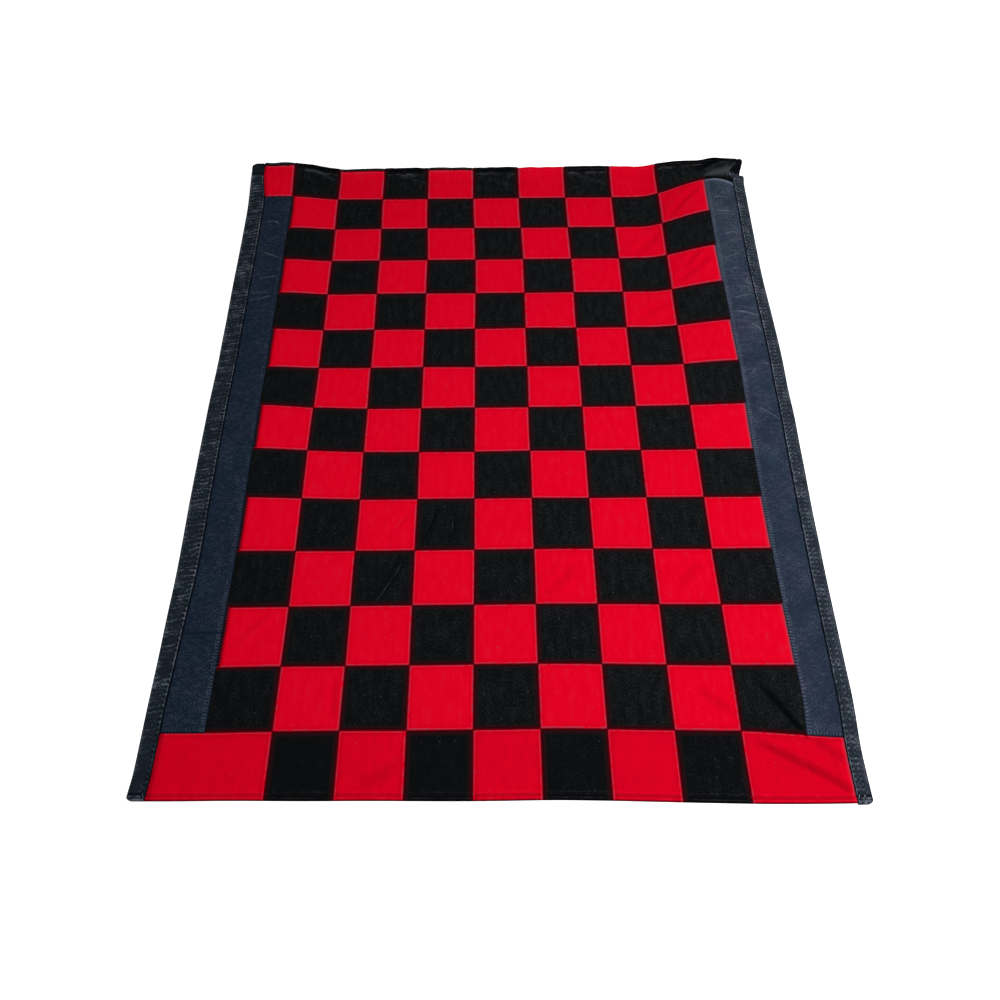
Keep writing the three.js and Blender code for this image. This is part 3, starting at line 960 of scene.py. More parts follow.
def panel_creases(side):
    """The placed creases of a side panel and fine ones scattered between them, the same on each run."""
    draw = random.Random(SCATTER_SEED + side)
    found = list(PANEL_CREASES[side])
    for _ in range(SCATTERED_CREASES):
        middle_v = PANEL_END * (1.0 - draw.random() ** SCATTER_CROWDING)
        middle_u = side * (HALF_FIELD + draw.uniform(*SCATTER_ACROSS))
        turn = draw.gauss(SCATTER_LEAN[side], SCATTER_TURN)
        half = draw.uniform(*SCATTER_HALF_LENGTH)
        reach_u = half * math.cos(turn)
        reach_v = half * math.sin(turn)
        rise = draw.uniform(*SCATTER_RISE)
        width = draw.uniform(*SCATTER_HALF_WIDTH)
        bow = draw.uniform(*SCATTER_BOW)
        ends = (middle_u - reach_u, middle_v - reach_v, middle_u + reach_u, middle_v + reach_v)
        found.append(Crease(*ends, width, rise, bow, SCATTER_WEAR[side] * rise))
    return found


def overcast_marks(sizes, side, u, v):
    """Height and wear of a panel where its overcasting presses it, along its inner edge and its near end."""
    pitch = sizes.overcast / MM
    inner = np.abs(u) - HALF_FIELD
    end = PANEL_END - np.abs(v)
    uneven = v + TICK_DRIFT * waves(TICK_WAVE, v, v, side)
    ticks = np.cos(2.0 * math.pi * uneven / pitch)
    end_ticks = np.cos(2.0 * math.pi * u / pitch)
    height = ticks * line_at(TICK_DENT, inner)
    wear = ticks * line_at(TICK_LINE, inner) + lines_at(TICK_RUBS, inner)
    wear *= between(TICK_WEAR[side], ramp(*TICK_GROWTH, v))
    wear += TICK_WEAR[side][0] * end_ticks * ramp(*NEAR_ROW, v) * line_at(END_TICK_LINE, end)
    return height, wear


def panel_top(sizes, side, u, v):
    """Height of a side panel over its underside, and its wear, with painted shade along its edges and at the
    left join.
    """
    inner = np.abs(u) - HALF_FIELD
    outer = panel_width(side, v) - inner + PANEL_EDGE_DRIFT * waves(PANEL_EDGE_WAVE, v, v, side)
    end = PANEL_END - np.abs(v)
    crinkle = sizes.crinkle / MM
    fine = waves(CRINKLE_WAVE, u, v, side) + SLANT_SHARE * waves(SLANT_WAVE, u + v, v - u, side)
    rubbed = broken(PANEL_RUBS, u, v, side)
    rise, wear = lie(u, v)
    height = sizes.denim / MM + rise + CRINKLE_SHARE * crinkle * fine
    wear += CRINKLE_WEAR * np.clip(fine, -1.0, 1.0)
    for crease in panel_creases(side):
        rise, worn = creased(crease, u, v)
        height += crinkle * rise
        wear += worn * rubbed
    pressed, marked = overcast_marks(sizes, side, u, v)
    height += pressed
    wear += marked
    if side == LEFT:
        height += line_at(JOIN_DENT, v)
        wear += line_at(JOIN_SHADE, v)
    else:
        bend = FAR_RUB_BEND * (inner / PANEL_WIDTH) ** 2
        wear += ramp(*FAR_ROW, v) * line_at(FAR_RUB, end - bend)
        wear += RIGHT_FADE * ramp(*RIGHT_FADE_STRETCH, v)
    height = at_least(height, LEAST_DENIM)
    height *= rimmed(PANEL_INNER_RIM, inner) * rimmed(PANEL_OUTER_RIM, outer) * rimmed(PANEL_END_RIM, end)
    wear += line_at(PANEL_OUTER_SHADE, outer) + line_at(PANEL_INNER_SHADE, inner)
    wear += line_at(PANEL_END_SHADE, end)
    return height, wear


def pucker_rows(side):
    """Places and heights of the ridges across an edge band, the same on each run."""
    draw = random.Random(PUCKER_SEED + side)
    place = -HALF_LENGTH - PUCKER_MARGIN
    places = []
    heights = []
    while place < HALF_LENGTH + PUCKER_MARGIN:
        places.append(place)
        heights.append(draw.uniform(*PUCKER_STRENGTH))
        place += draw.uniform(*PUCKER_STEP)
    return np.array(places), np.array(heights)


def puckers_at(side, across, v):
    """Ridges that the sewing draws up in an edge band, from 0 to about 1."""
    places, heights = pucker_rows(side)
    slanted = v + PUCKER_SLANT * across + PUCKER_BEND * waves(PUCKER_WAVE, across, v, side)
    after = np.clip(np.searchsorted(places, slanted), 1, len(places) - 1)
    ridges = [heights[i] * hump(slanted - places[i], PUCKER_HALF_WIDTH) for i in (after - 1, after)]
    return (ridges[0] + ridges[1]) * ramp(*PUCKER_START, across) * ramp(*PUCKER_REACH[side], across)


def band_sewing(sizes, side, across, v):
    """Height and wear of an edge band along its topstitching, lowest where the needle went in, with painted
    shade in the needle holes.
    """
    holes = (0.5 + 0.5 * np.cos(2.0 * math.pi * v / (sizes.topstitch / MM))) ** 2
    height = np.zeros_like(v)
    wear = np.zeros_like(v)
    for row in TOPSTITCH_ROWS[side]:
        height -= (STITCH_DENT + HOLE_DENT * holes) * hump(across - row, DENT_HALF_WIDTH)
        wear += (STITCH_WEAR[side] - HOLE_SHADE[side] * holes) * hump(across - row, STITCH_HALF_WIDTH)
    return height, wear


def band_ends(side, u, v):
    """Height and wear of an edge band at its turned-over near end and at its far end, with painted shade in
    its grooves and at its far crease and tip.
    """
    turn = v + HALF_LENGTH
    turned = ramp(*NEAR_TURN_EDGE, turn)
    height = NEAR_TURN_HEIGHT * turned + lines_at(NEAR_TURN_GROOVES, turn)
    wear = NEAR_END_WEAR[side] * broken(NEAR_LUMPS, u, v, side) * turned + lines_at(NEAR_TURN_SHADES, turn)
    if side == LEFT:
        height += lines_at(FAR_CREASE_RELIEF, v)
        wear += lines_at(FAR_CREASE_SHADING, v) - FAR_CREASE_SHADE * ramp(*FAR_CREASE_STRETCH, v)
    else:
        wear -= TIP_SHADE * ramp(*TIP_STRETCH, v)
    return height, wear


def band_top(sizes, side, u, v):
    """Height of an edge band over its underside, and its wear, with painted shade at its fold and outer
    edge.
    """
    across = np.abs(u) - HALF_FIELD - panel_width(side, v)
    outer = HALF_FIELD + SIDE_WIDTH[side] - np.abs(u)
    end = HALF_LENGTH - np.abs(v)
    ridges = puckers_at(side, across, v)
    grain = waves(GRAIN, u, v, side)
    dashes = broken(BAND_DASHES, u, v, side)
    specks = broken(SPECKS, u, v, side) * ramp(*SPECK_EDGE, across)
    rise, wear = lie(u, v)
    sewn_height, sewn_wear_and_shade = band_sewing(sizes, side, across, v)
    end_height, end_wear_and_shade = band_ends(side, u, v)
    height = sizes.band / MM + rise + sizes.pucker / MM * (ridges - PUCKER_SINK) + GRAIN_HEIGHT * grain
    height = at_least(height + sewn_height + end_height, LEAST_BAND)
    height *= rimmed(BAND_FOLD_RIM, across) * rimmed(BAND_OUTER_RIM, outer) * rimmed(BAND_END_RIM, end)
    ridge_wear = PUCKER_WEAR[side] + PUCKER_FAR_WEAR * ramp(*PUCKER_FAR_STRETCH, v)
    rubbed = ridge_wear * dashes * ridges + GRAIN_WEAR * grain + SPECK_WEAR[side] * specks
    wear += (1.0 - NEAR_CALM[side] * ramp(*CALM_STRETCH, v)) * rubbed + sewn_wear_and_shade + end_wear_and_shade
    wear += BAND_CLOUD_WEAR * waves(BAND_CLOUDS, u, v, side) + BAND_BASE_WEAR[side]
    wear += BAND_OUTER_WEAR[side] * ramp(*BAND_OUTER_EDGE, across)
    wear += between(FOLD_WEAR[side], ramp(*FOLD_STRETCH, v)) * dashes * line_at(FOLD_NAP, across)
    wear += line_at(FOLD_SHADE, across) + line_at(OUTER_NAP, outer) + line_at(OUTER_SHADE, outer)
    return height, wear


def eased_corner(outer, end, radius):
    """Distances from a band's outer edge and end, with its square corners rounded off."""
    aside = np.maximum(radius - outer, 0.0)
    ahead = np.maximum(radius - end, 0.0)
    in_corner = (aside > 0.0) & (ahead > 0.0)
    far = np.where(in_corner, np.hypot(aside, ahead), 1.0)
    pull = np.where(in_corner, 1.0 - np.maximum(aside, ahead) / far, 0.0)
    return outer + aside * pull, end + ahead * pull


def lines(start, steps):
    """Grid lines from a start, one after each step."""
    return np.concatenate(([start], start + np.cumsum(steps)))


def even_lines(start, end, cell):
    """Grid lines at about equal spaces."""
    return np.linspace(start, end, round(abs(end - start) / cell) + 1)


def flat_slab(across, along, cuts, is_kept=None):
    """A closed slab over a grid of lines: z is 0 on the underside and 1 on the top, divided again."""
    bm = bmesh.new()
    columns = len(across) - 1
    rows = len(along) - 1
    bmesh.ops.create_grid(bm, x_segments=columns, y_segments=rows, size=0.5)
    for vert in bm.verts:
        vert.co.x = across[round((vert.co.x + 0.5) * columns)]
        vert.co.y = along[round((vert.co.y + 0.5) * rows)]
    if is_kept:
        spare = [face for face in bm.faces if not is_kept(face.calc_center_median())]
        bmesh.ops.delete(bm, geom=spare, context="FACES")
    made = bmesh.ops.extrude_face_region(bm, geom=bm.faces[:], use_keep_orig=True)["geom"]
    raised = [item for item in made if isinstance(item, bmesh.types.BMVert)]
    bmesh.ops.translate(bm, vec=(0.0, 0.0, 1.0), verts=raised)
    top = [item for item in made if isinstance(item, bmesh.types.BMFace)]
    edges = list(dict.fromkeys(edge for face in top for edge in face.edges))
    bmesh.ops.subdivide_edges(bm, edges=edges, cuts=cuts, use_grid_fill=True)
    bmesh.ops.recalc_face_normals(bm, faces=bm.faces[:])
    return bm


def object_of(mesh, materials):
    """Makes a smooth object at the origin from a finished mesh."""
    for material in materials:
        mesh.materials.append(material)
    mesh.polygons.foreach_set("use_smooth", np.ones(len(mesh.polygons), dtype=bool))
    piece = bpy.data.objects.new(mesh.name, mesh)
    bpy.context.scene.collection.objects.link(piece)
    return piece


def object_from(name, bm, materials):
    """Makes a smooth object at the origin from a bmesh."""
    mesh = bpy.data.meshes.new(name)
    bm.to_mesh(mesh)
    bm.free()
    return object_of(mesh, materials)


def store(mesh, name, values):
    """Keeps a value from 0 to 1 for each point of a mesh, for its material to read."""
    kept = mesh.attributes.new(name, "FLOAT", "POINT")
    kept.data.foreach_set("value", np.clip(values, 0.0, 1.0).astype(np.float32))


def laid_sheet(name, slab, materials, flat_of, top_of):
    """Lays a flat slab as cloth: its flat place becomes its UV map, and its worn nap, painted shade and
    painted light the attribute wear.
    """
    piece = object_from(name, slab, materials)
    mesh = piece.data
    points = np.zeros(len(mesh.vertices) * 3)
    mesh.vertices.foreach_get("co", points)
    points = points.reshape(-1, 3)
    u, v = flat_of(points[:, 0], points[:, 1])
    is_top = points[:, 2] > 0.5
    height, wear = top_of(u, v)
    mesh.vertices.foreach_set("co", placed(u, v, np.where(is_top, height, 0.0)).ravel())
    corners = np.zeros(len(mesh.loops), dtype=np.int32)
    mesh.loops.foreach_get("vertex_index", corners)
    flat_map = mesh.uv_layers.new(name="flat")
    flat_map.data.foreach_set("uv", (np.column_stack((u, v))[corners] * MM).ravel())
    store(mesh, "wear", 0.5 + 0.5 * wear)
    mesh.update()
    return piece, u, v


def face_middles(mesh, values):
    """The mean of a point value over each face."""
    starts = np.zeros(len(mesh.polygons), dtype=np.int32)
    corners = np.zeros(len(mesh.loops), dtype=np.int32)
    counts = np.zeros(len(mesh.polygons), dtype=np.int32)
    mesh.polygons.foreach_get("loop_start", starts)
    mesh.polygons.foreach_get("loop_total", counts)
    mesh.loops.foreach_get("vertex_index", corners)
    return np.add.reduceat(values[corners], starts) / counts


def patchwork_flat(u, v):
    """Flat place of a point of the patchwork's slab, its ends being as wide as the panels."""
    over = np.maximum(np.abs(u) - HALF_FIELD, 0.0)
    width = np.where(u < 0.0, panel_width(LEFT, v), panel_width(RIGHT, v))
    return u + np.sign(u) * over * (width / PANEL_WIDTH - 1.0), v


def panel_flat(side, u, v):
    """Flat place of a point of a panel's slab, from the patches out."""
    return side * (HALF_FIELD + np.abs(u) * panel_width(side, v) / PANEL_WIDTH), v


def band_flat(side, u, v):
    """Flat place of a point of a band's slab, from its folded edge out, with its corners rounded off."""
    share = 1.0 - np.abs(u) / (SIDE_WIDTH[side] - PANEL_WIDTH)
    width = SIDE_WIDTH[side] - panel_width(side, v)
    radius = np.where(v > 0.0, FAR_RADIUS[side], CORNER_RADIUS)
    outer, end = eased_corner(share * width, HALF_LENGTH - np.abs(v), radius)
    past = NEAR_OVERHANG[side] * ramp(*OVERHANG_STRETCH, v)
    return side * (HALF_FIELD + SIDE_WIDTH[side] - outer), np.sign(v) * (HALF_LENGTH - end) - past


def is_patchwork(middle):
    """True inside the patches and the rows that run over the ends of the panels."""
    return abs(middle.x) < HALF_FIELD or abs(middle.y) > PANEL_END


def patchwork_slab():
    """The patchwork's flat slab, with lines close together at its seams, its hems and its sharp crease."""
    left_wing = lines(-HALF_FIELD - PANEL_WIDTH, WING_STEPS[::-1])[:-1]
    field = lines(-HALF_FIELD, PATCH_STEPS * (COLUMNS - 1) + FINE_STEPS)
    right_wing = lines(HALF_FIELD, WING_STEPS)[1:]
    rows = HEM_STEPS + FINE_STEPS + PATCH_STEPS * (ROWS - 3) + HEM_STEPS[::-1]
    across = np.concatenate((left_wing, field, right_wing))
    return flat_slab(across, lines(-HALF_LENGTH, rows), PATCH_CUTS, is_patchwork)


def strip_slab(side, width, half_length):
    """The flat slab of a panel or a band, from its inner edge out."""
    across = side * even_lines(0.0, width, STRIP_CELL)
    return flat_slab(across, even_lines(-half_length, half_length, STRIP_CELL), STRIP_CUTS)


def add(tree, kind, settings=None, sockets=None):
    """Adds a node with its settings, and gives its sockets their values or links."""
    made = tree.nodes.new(kind)
    for key, value in (settings or {}).items():
        setattr(made, key, value)
    for key, value in (sockets or {}).items():
        if isinstance(value, bpy.types.NodeSocket):
            tree.links.new(value, made.inputs[key])
        else:
            made.inputs[key].default_value = value
    return made


def new_material(name):
    """An empty node material with its surface shader."""
    material = bpy.data.materials.new(name)
    material.use_nodes = True
    tree = material.node_tree
    tree.nodes.clear()
    shader = add(tree, "ShaderNodeBsdfPrincipled")
    add(tree, "ShaderNodeOutputMaterial", None, {"Surface": shader.outputs["BSDF"]})
    return material, tree, shader


def three_colours(tree, factor, low, middle, high):
    """A colour ramp with its middle colour at one half."""
    made = add(tree, "ShaderNodeValToRGB", None, {"Fac": factor})
    stops = made.color_ramp.elements
    stops[0].color = (*low, 1.0)
    stops[1].color = (*high, 1.0)
    stops.new(0.5).color = (*middle, 1.0)
    return made.outputs["Color"]


def per_metre(millimetres):
    """How many times a pattern of that size repeats in a metre."""
    return 1.0 / (millimetres * MM)


def pattern(tree, place, scale=1.0, detail=2.0, roughness=0.5):
    """Soft noise, from 0 to 1."""
    sockets = {"Vector": place, "Scale": scale, "Detail": detail, "Roughness": roughness}
    return add(tree, "ShaderNodeTexNoise", None, sockets).outputs["Fac"]


def stretched(tree, flat, size):
    """Places for a pattern of a given size across and along the cloth."""
    scale = (per_metre(size[0]), per_metre(size[1]), 1.0)
    return add(tree, "ShaderNodeMapping", None, {"Vector": flat, "Scale": scale}).outputs["Vector"]


def calculated(tree, operation, *values):
    """The result of arithmetic on values or sockets."""
    return add(tree, "ShaderNodeMath", {"operation": operation}, dict(enumerate(values))).outputs["Value"]


def fine_crease(tree, flat, crease):
    """A thin crease that tapers to both its ends, from 0 to 1."""
    run_u = crease.u2 - crease.u1
    run_v = crease.v2 - crease.v1
    place = add(tree, "ShaderNodeMapping", {"vector_type": "TEXTURE"}, {
        "Vector": flat,
        "Location": (0.5 * (crease.u1 + crease.u2) * MM, 0.5 * (crease.v1 + crease.v2) * MM, 0.0),
        "Rotation": (0.0, 0.0, math.atan2(run_v, run_u)),
        "Scale": (0.5 * math.hypot(run_u, run_v) * MM, crease.half_width * MM, 1.0),
    }).outputs["Vector"]
    spindle = add(tree, "ShaderNodeTexGradient", {"gradient_type": "SPHERICAL"}, {"Vector": place})
    return spindle.outputs["Fac"]


def lint(tree, flat):
    """Stray bits of lint, 1 on them and 0 elsewhere."""
    # Lint is about 0.5 mm across, too fine to show, so it is drawn 2 mm across
    cells = add(tree, "ShaderNodeTexVoronoi", {"voronoi_dimensions": "2D"}, {
        "Vector": flat, "Scale": per_metre(LINT_SPACING),
    })
    close = calculated(tree, "LESS_THAN", cells.outputs["Distance"], LINT_RADIUS / LINT_SPACING)
    chosen = calculated(tree, "GREATER_THAN", cells.outputs["Color"], LINT_CHOSEN)
    return calculated(tree, "MULTIPLY", close, chosen)


def worn_and_shaded(tree, patterns):
    """The worn nap and painted shade of the cloth, from its attribute, with patterns added to it in their
    shares.
    """
    wear = add(tree, "ShaderNodeAttribute", {"attribute_name": "wear"}).outputs["Fac"]
    for fac, share in patterns:
        wear = calculated(tree, "MULTIPLY_ADD", fac, share, wear)
    return wear


def surface(tree, shader, colour, height, strength):
    """Gives a shader its colour and a fine relief."""
    bump = add(tree, "ShaderNodeBump", None, {
        "Height": height, "Strength": strength, "Distance": RELIEF_DEPTH * MM,
    })
    tree.links.new(colour, shader.inputs["Base Color"])
    tree.links.new(bump.outputs["Normal"], shader.inputs["Normal"])


def flannel(name, cloth_colours, creases, pile):
    """Brushed cotton flannel: raised nap hides the weave, so it is matt, mottled and faintly streaked."""
    material, tree, shader = new_material(name)
    shade, base, nap, seam = cloth_colours
    flat = add(tree, "ShaderNodeUVMap", {"uv_map": "flat"}).outputs["UV"]
    clumps = pattern(tree, stretched(tree, flat, PILE_CLUMP), detail=3.0, roughness=0.6)
    # The nap's fibres are about 0.3 mm wide, too fine to show, so they are drawn 2 mm wide
    fibres = pattern(tree, stretched(tree, flat, PILE_FIBRE))
    patterns = [(lint(tree, flat), LINT_WEAR)]
    # Fine creases add painted shade and painted highlights
    patterns += [(fine_crease(tree, flat, crease), crease.wear) for crease in creases]
    patterns += [(clumps, pile.mottle), (fibres, pile.streak)]
    worn = worn_and_shaded(tree, patterns)
    centred = calculated(tree, "SUBTRACT", worn, 0.5 * (pile.mottle + pile.streak))
    # The low stop is painted shade, the high stop nap with painted highlights
    napped = three_colours(tree, centred, shade, base, nap)
    # Painted shade: mixes toward the seam colour as far as the cloth goes down into a seam
    seam_shading = add(tree, "ShaderNodeAttribute", {"attribute_name": "seam"}).outputs["Fac"]
    seamed = add(tree, "ShaderNodeMixRGB", None, {"Fac": seam_shading, "Color1": napped, "Color2": (*seam, 1.0)})
    surface(tree, shader, seamed.outputs["Color"], fibres, 0.25)
    shader.inputs["Roughness"].default_value = 0.95
    shader.inputs["Specular IOR Level"].default_value = 0.0
    shader.inputs["Sheen Weight"].default_value = pile.sheen
    shader.inputs["Sheen Roughness"].default_value = 0.6
    shader.inputs["Sheen Tint"].default_value = (*pile.sheen_tint, 1.0)
    return material


def denim(name, blues, wash):
    """Indigo cotton denim: a twill of dark warp over pale weft, pale on its ridges, with painted shade in
    its grooves.
    """
    material, tree, shader = new_material(name)
    flat = add(tree, "ShaderNodeUVMap", {"uv_map": "flat"}).outputs["UV"]
    # Twill lines are about 0.9 mm apart, too fine to show, so they are drawn 3 mm apart
    turned = add(tree, "ShaderNodeMapping", None, {
        "Vector": flat, "Rotation": (0.0, 0.0, math.radians(TWILL_ANGLE)),
    }).outputs["Vector"]
    twill = add(tree, "ShaderNodeTexWave", {"wave_type": "BANDS", "bands_direction": "X"}, {
        "Vector": turned, "Scale": per_metre(TWILL_SPACING) * WAVE_SPACING,
        "Distortion": 1.5, "Detail": 2.0, "Detail Scale": 2.0,
    }).outputs["Fac"]
    # Pale flecks of weft are about 0.7 mm wide, too fine to show, so they are drawn 2.6 by 3.4 mm
    flecks = pattern(tree, stretched(tree, flat, WEFT_FLECK), roughness=0.6)
    fading = pattern(tree, flat, per_metre(FADE_SIZE), roughness=0.6)
    clouds = pattern(tree, flat, per_metre(wash.cloud_size), detail=3.0, roughness=0.6)
    faded_and_shaded = worn_and_shaded(tree, [(twill, TWILL_WEAR), (flecks, wash.fleck), (fading, wash.fade)])
    centred = calculated(tree, "SUBTRACT", faded_and_shaded, 0.5 * (TWILL_WEAR + wash.fleck + wash.fade))
    # The low stop is unworn indigo with painted shade, the high stop worn denim
    blued = three_colours(tree, centred, *blues)
    tint = three_colours(tree, clouds, *CLOUD_TINTS)
    tinted = add(tree, "ShaderNodeVectorMath", {"operation": "MULTIPLY"}, {0: blued, 1: tint})
    surface(tree, shader, tinted.outputs["Vector"], flecks, 0.4)
    shader.inputs["Roughness"].default_value = 0.9
    shader.inputs["Specular IOR Level"].default_value = 0.03
    return material


def thread(name, colour, pale):
    """Twisted cotton sewing thread: matt, with pale and dark plies that wind round it."""
    material, tree, shader = new_material(name)
    place = add(tree, "ShaderNodeTexCoord").outputs["Object"]
    # The plies are about 0.5 mm apart, too fine to show, so they are drawn 1.5 mm apart
    plies = pattern(tree, place, per_metre(PLY_SIZE), detail=1.0)
    tree.links.new(three_colours(tree, plies, colour, colour, pale), shader.inputs["Base Color"])
    shader.inputs["Roughness"].default_value = 0.8
    shader.inputs["Specular IOR Level"].default_value = 0.1
    return material


def sewn(name, material, starts, ends, diameter):
    """Stitches as one mesh: copies of one small spindle, each from its start to its end."""
    bm = bmesh.new()
    bmesh.ops.create_uvsphere(bm, u_segments=6, v_segments=4, radius=1.0)
    spindle = np.array([vert.co for vert in bm.verts])
    spindle_faces = [[vert.index for vert in face.verts] for face in bm.faces]
    bm.free()
    points = []
    faces = []
    for start, end in zip(starts, ends):
        run = Vector(end) - Vector(start)
        turn = np.array(run.to_track_quat("Z", "Y").to_matrix())
        size = np.array((diameter / 2, diameter / 2, run.length / 2))
        faces.extend([[index + len(points) for index in face] for face in spindle_faces])
        points.extend((spindle * size) @ turn.T + (np.array(start) + np.array(end)) / 2)
    mesh = bpy.data.meshes.new(name)
    mesh.from_pydata(points, [], faces)
    return object_of(mesh, [material])


def ride_root(piece, replaced=None):
    """Ties a piece to the quilt's one body, and hides the solid that it stands for."""
    if replaced:
        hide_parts(replaced)
    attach(piece, BODY)


SIDE_WORDS = {LEFT: "left", RIGHT: "right"}


class QUILT_OT_patchwork(bpy.types.Operator):
    """Lays the red and black flannel patchwork, with its hems and the ends that run over the panels"""

    bl_idname = "quilt.patchwork"
    bl_label = "Lay Patchwork"

    def execute(self, context):
        sizes = context.scene.quilt_sizes
        colours = context.scene.quilt_colours
        reds = (colours.red_seam_shade, colours.red, colours.red_nap_and_highlight, colours.red_seam_shade)
        blacks = (colours.black_shade, colours.black, colours.black_nap_and_highlight, colours.black_seam_shade)
        red = flannel("red_brushed_flannel", reds, RED_FINE_CREASES, RED_PILE)
        black = flannel("black_brushed_flannel", blacks, BLACK_FINE_CREASES, BLACK_PILE)
        piece, u, v = laid_sheet(
            "flannel_patchwork",
            patchwork_slab(),
            [black, red],
            patchwork_flat,
            partial(patchwork_top, sizes),
        )
        # The seam attribute holds painted shade down in the seams
        store(piece.data, "seam", seam_shade_depth(u, v))
        middle_u = face_middles(piece.data, u)
        middle_v = face_middles(piece.data, v)
        in_seam = turned_distance(middle_u, middle_v) < red_turn(middle_v)
        in_seam &= np.abs(middle_u) < HALF_FIELD - 0.5
        red_faces = (is_red(middle_u, middle_v) | in_seam) & ~is_lip(middle_u, middle_v)
        piece.data.polygons.foreach_set("material_index", red_faces.astype(np.int32))
        ride_root(piece, "patchwork")
        return {"FINISHED"}


class QUILT_OT_panels(bpy.types.Operator):
    """Lays the crinkled denim panels beside the patches"""

    bl_idname = "quilt.panels"
    bl_label = "Lay Side Panels"

    def execute(self, context):
        sizes = context.scene.quilt_sizes
        colours = context.scene.quilt_colours
        bases = {LEFT: colours.dark_denim, RIGHT: colours.faded_denim}
        for side, word in SIDE_WORDS.items():
            blues = (colours.indigo_and_shade, bases[side], colours.worn)
            material = denim(f"{word}_washed_denim", blues, PANEL_WASH[side])
            piece, _, _ = laid_sheet(
                f"{word}_denim_panel",
                strip_slab(side, PANEL_WIDTH, PANEL_END),
                [material],
                partial(panel_flat, side),
                partial(panel_top, sizes, side),
            )
            ride_root(piece, f"{word}_panel")
        return {"FINISHED"}


class QUILT_OT_bands(bpy.types.Operator):
    """Lays the folded denim bands along both edges, puckered by their sewing"""

    bl_idname = "quilt.bands"
    bl_label = "Lay Edge Bands"

    def execute(self, context):
        sizes = context.scene.quilt_sizes
        colours = context.scene.quilt_colours
        bases = {LEFT: colours.dark_band, RIGHT: colours.faded_band}
        for side, word in SIDE_WORDS.items():
            full = SIDE_WIDTH[side] - PANEL_WIDTH
            blues = (colours.indigo_and_shade, bases[side], colours.worn)
            material = denim(f"{word}_band_denim", blues, BAND_WASH)
            piece, _, _ = laid_sheet(
                f"{word}_denim_band",
                strip_slab(side, full, HALF_LENGTH),
                [material],
                partial(band_flat, side),
                partial(band_top, sizes, side),
            )
            ride_root(piece, f"{word}_band")
        return {"FINISHED"}


class QUILT_OT_topstitching(bpy.types.Operator):
    """Sews the rows of topstitching along the edge bands"""

    bl_idname = "quilt.topstitching"
    bl_label = "Sew Edge Bands"

    def execute(self, context):
        sizes = context.scene.quilt_sizes
        colours = context.scene.quilt_colours
        shades = {LEFT: colours.grey_thread, RIGHT: colours.pale_thread}
        pitch = sizes.topstitch / MM
        for side, word in SIDE_WORDS.items():
            material = thread(f"{word}_topstitch_cotton", shades[side], colours.worn)
            first = math.ceil(TOPSTITCH_FIRST / pitch)
            holes = np.arange(first, math.floor(TOPSTITCH_LAST[side] / pitch))
            starts = []
            ends = []
            for row in TOPSTITCH_ROWS[side]:
                uneven = TOPSTITCH_SINK + SINK_SWING * waves(SINK_WAVE, holes, holes, row)
                sink = sizes.topthread / MM * uneven
                for share, points in zip(TOPSTITCH_ENDS, (starts, ends)):
                    along = (holes + share) * pitch
                    u = side * (HALF_FIELD + panel_width(side, along) + row)
                    points.extend(placed(u, along, band_top(sizes, side, u, along)[0] - sink))
            piece = sewn(f"{word}_band_topstitching", material, starts, ends, sizes.topthread)
            ride_root(piece)
        return {"FINISHED"}


class QUILT_OT_overcasting(bpy.types.Operator):
    """Sews the short stitches along the inner edges of the panels"""

    bl_idname = "quilt.overcasting"
    bl_label = "Sew Panel Edges"

    def execute(self, context):
        sizes = context.scene.quilt_sizes
        colours = context.scene.quilt_colours
        shades = {LEFT: colours.dark_denim, RIGHT: colours.thread}
        plies = {LEFT: colours.grey_thread, RIGHT: colours.dark_denim}
        pitch = sizes.overcast / MM
        sink = OVERCAST_SINK * sizes.thread / MM
        for side, word in SIDE_WORDS.items():
            material = thread(f"{word}_overcast_cotton", shades[side], plies[side])
            v = np.arange(-PANEL_END + pitch, PANEL_END - pitch / 2, pitch)
            v = np.round(v / pitch) * pitch
            by_red = is_red(np.full_like(v, side * (HALF_FIELD - 1.0)), v)
            inner = side * (HALF_FIELD + np.where(by_red, OVERCAST_OVER_RED[side], OVERCAST_BY_BLACK))
            outer = side * (HALF_FIELD + OVERCAST_END) + OVERCAST_SWING * waves(OVERCAST_WAVE, v, v)
            slant = v + OVERCAST_SLANT
            on_denim = panel_top(sizes, side, inner, v)[0]
            on_patch = patchwork_top(sizes, inner, v)[0]
            starts = placed(inner, v, np.where(by_red, on_patch, on_denim) - sink)
            ends = placed(outer, slant, panel_top(sizes, side, outer, slant)[0] - sink)
            piece = sewn(f"{word}_panel_overcasting", material, starts, ends, sizes.topthread)
            ride_root(piece)
        return {"FINISHED"}


class QUILT_OT_hemming(bpy.types.Operator):
    """Sews the hems along the near and far edges"""

    bl_idname = "quilt.hemming"
    bl_label = "Sew Hems"

    def execute(self, context):
        sizes = context.scene.quilt_sizes
        colours = context.scene.quilt_colours
        material = thread("hem_cotton_thread", colours.hem_thread, colours.worn)
        pitch = sizes.hemstitch / MM
        sink = HEM_STITCH_SINK * sizes.thread / MM
        for end, word in ((-1, "near"), (1, "far")):
            v_line = end * (HALF_LENGTH - sizes.hem / MM)
            left = -HALF_FIELD - float(panel_width(LEFT, v_line)) + HEM_LEFT_MARGIN
            u = np.arange(left, HALF_FIELD + PANEL_WIDTH - HEM_RIGHT_MARGIN, pitch)
            v = np.full_like(u, v_line)
            starts = placed(u, v, patchwork_top(sizes, u, v)[0] - sink)
            ahead = u + HEM_STITCH_SHARE * pitch
            ends = placed(ahead, v, patchwork_top(sizes, ahead, v)[0] - sink)
            piece = sewn(f"{word}_hem_stitching", material, starts, ends, HEM_THREAD_SHARE * sizes.thread)
            ride_root(piece)
        return {"FINISHED"}


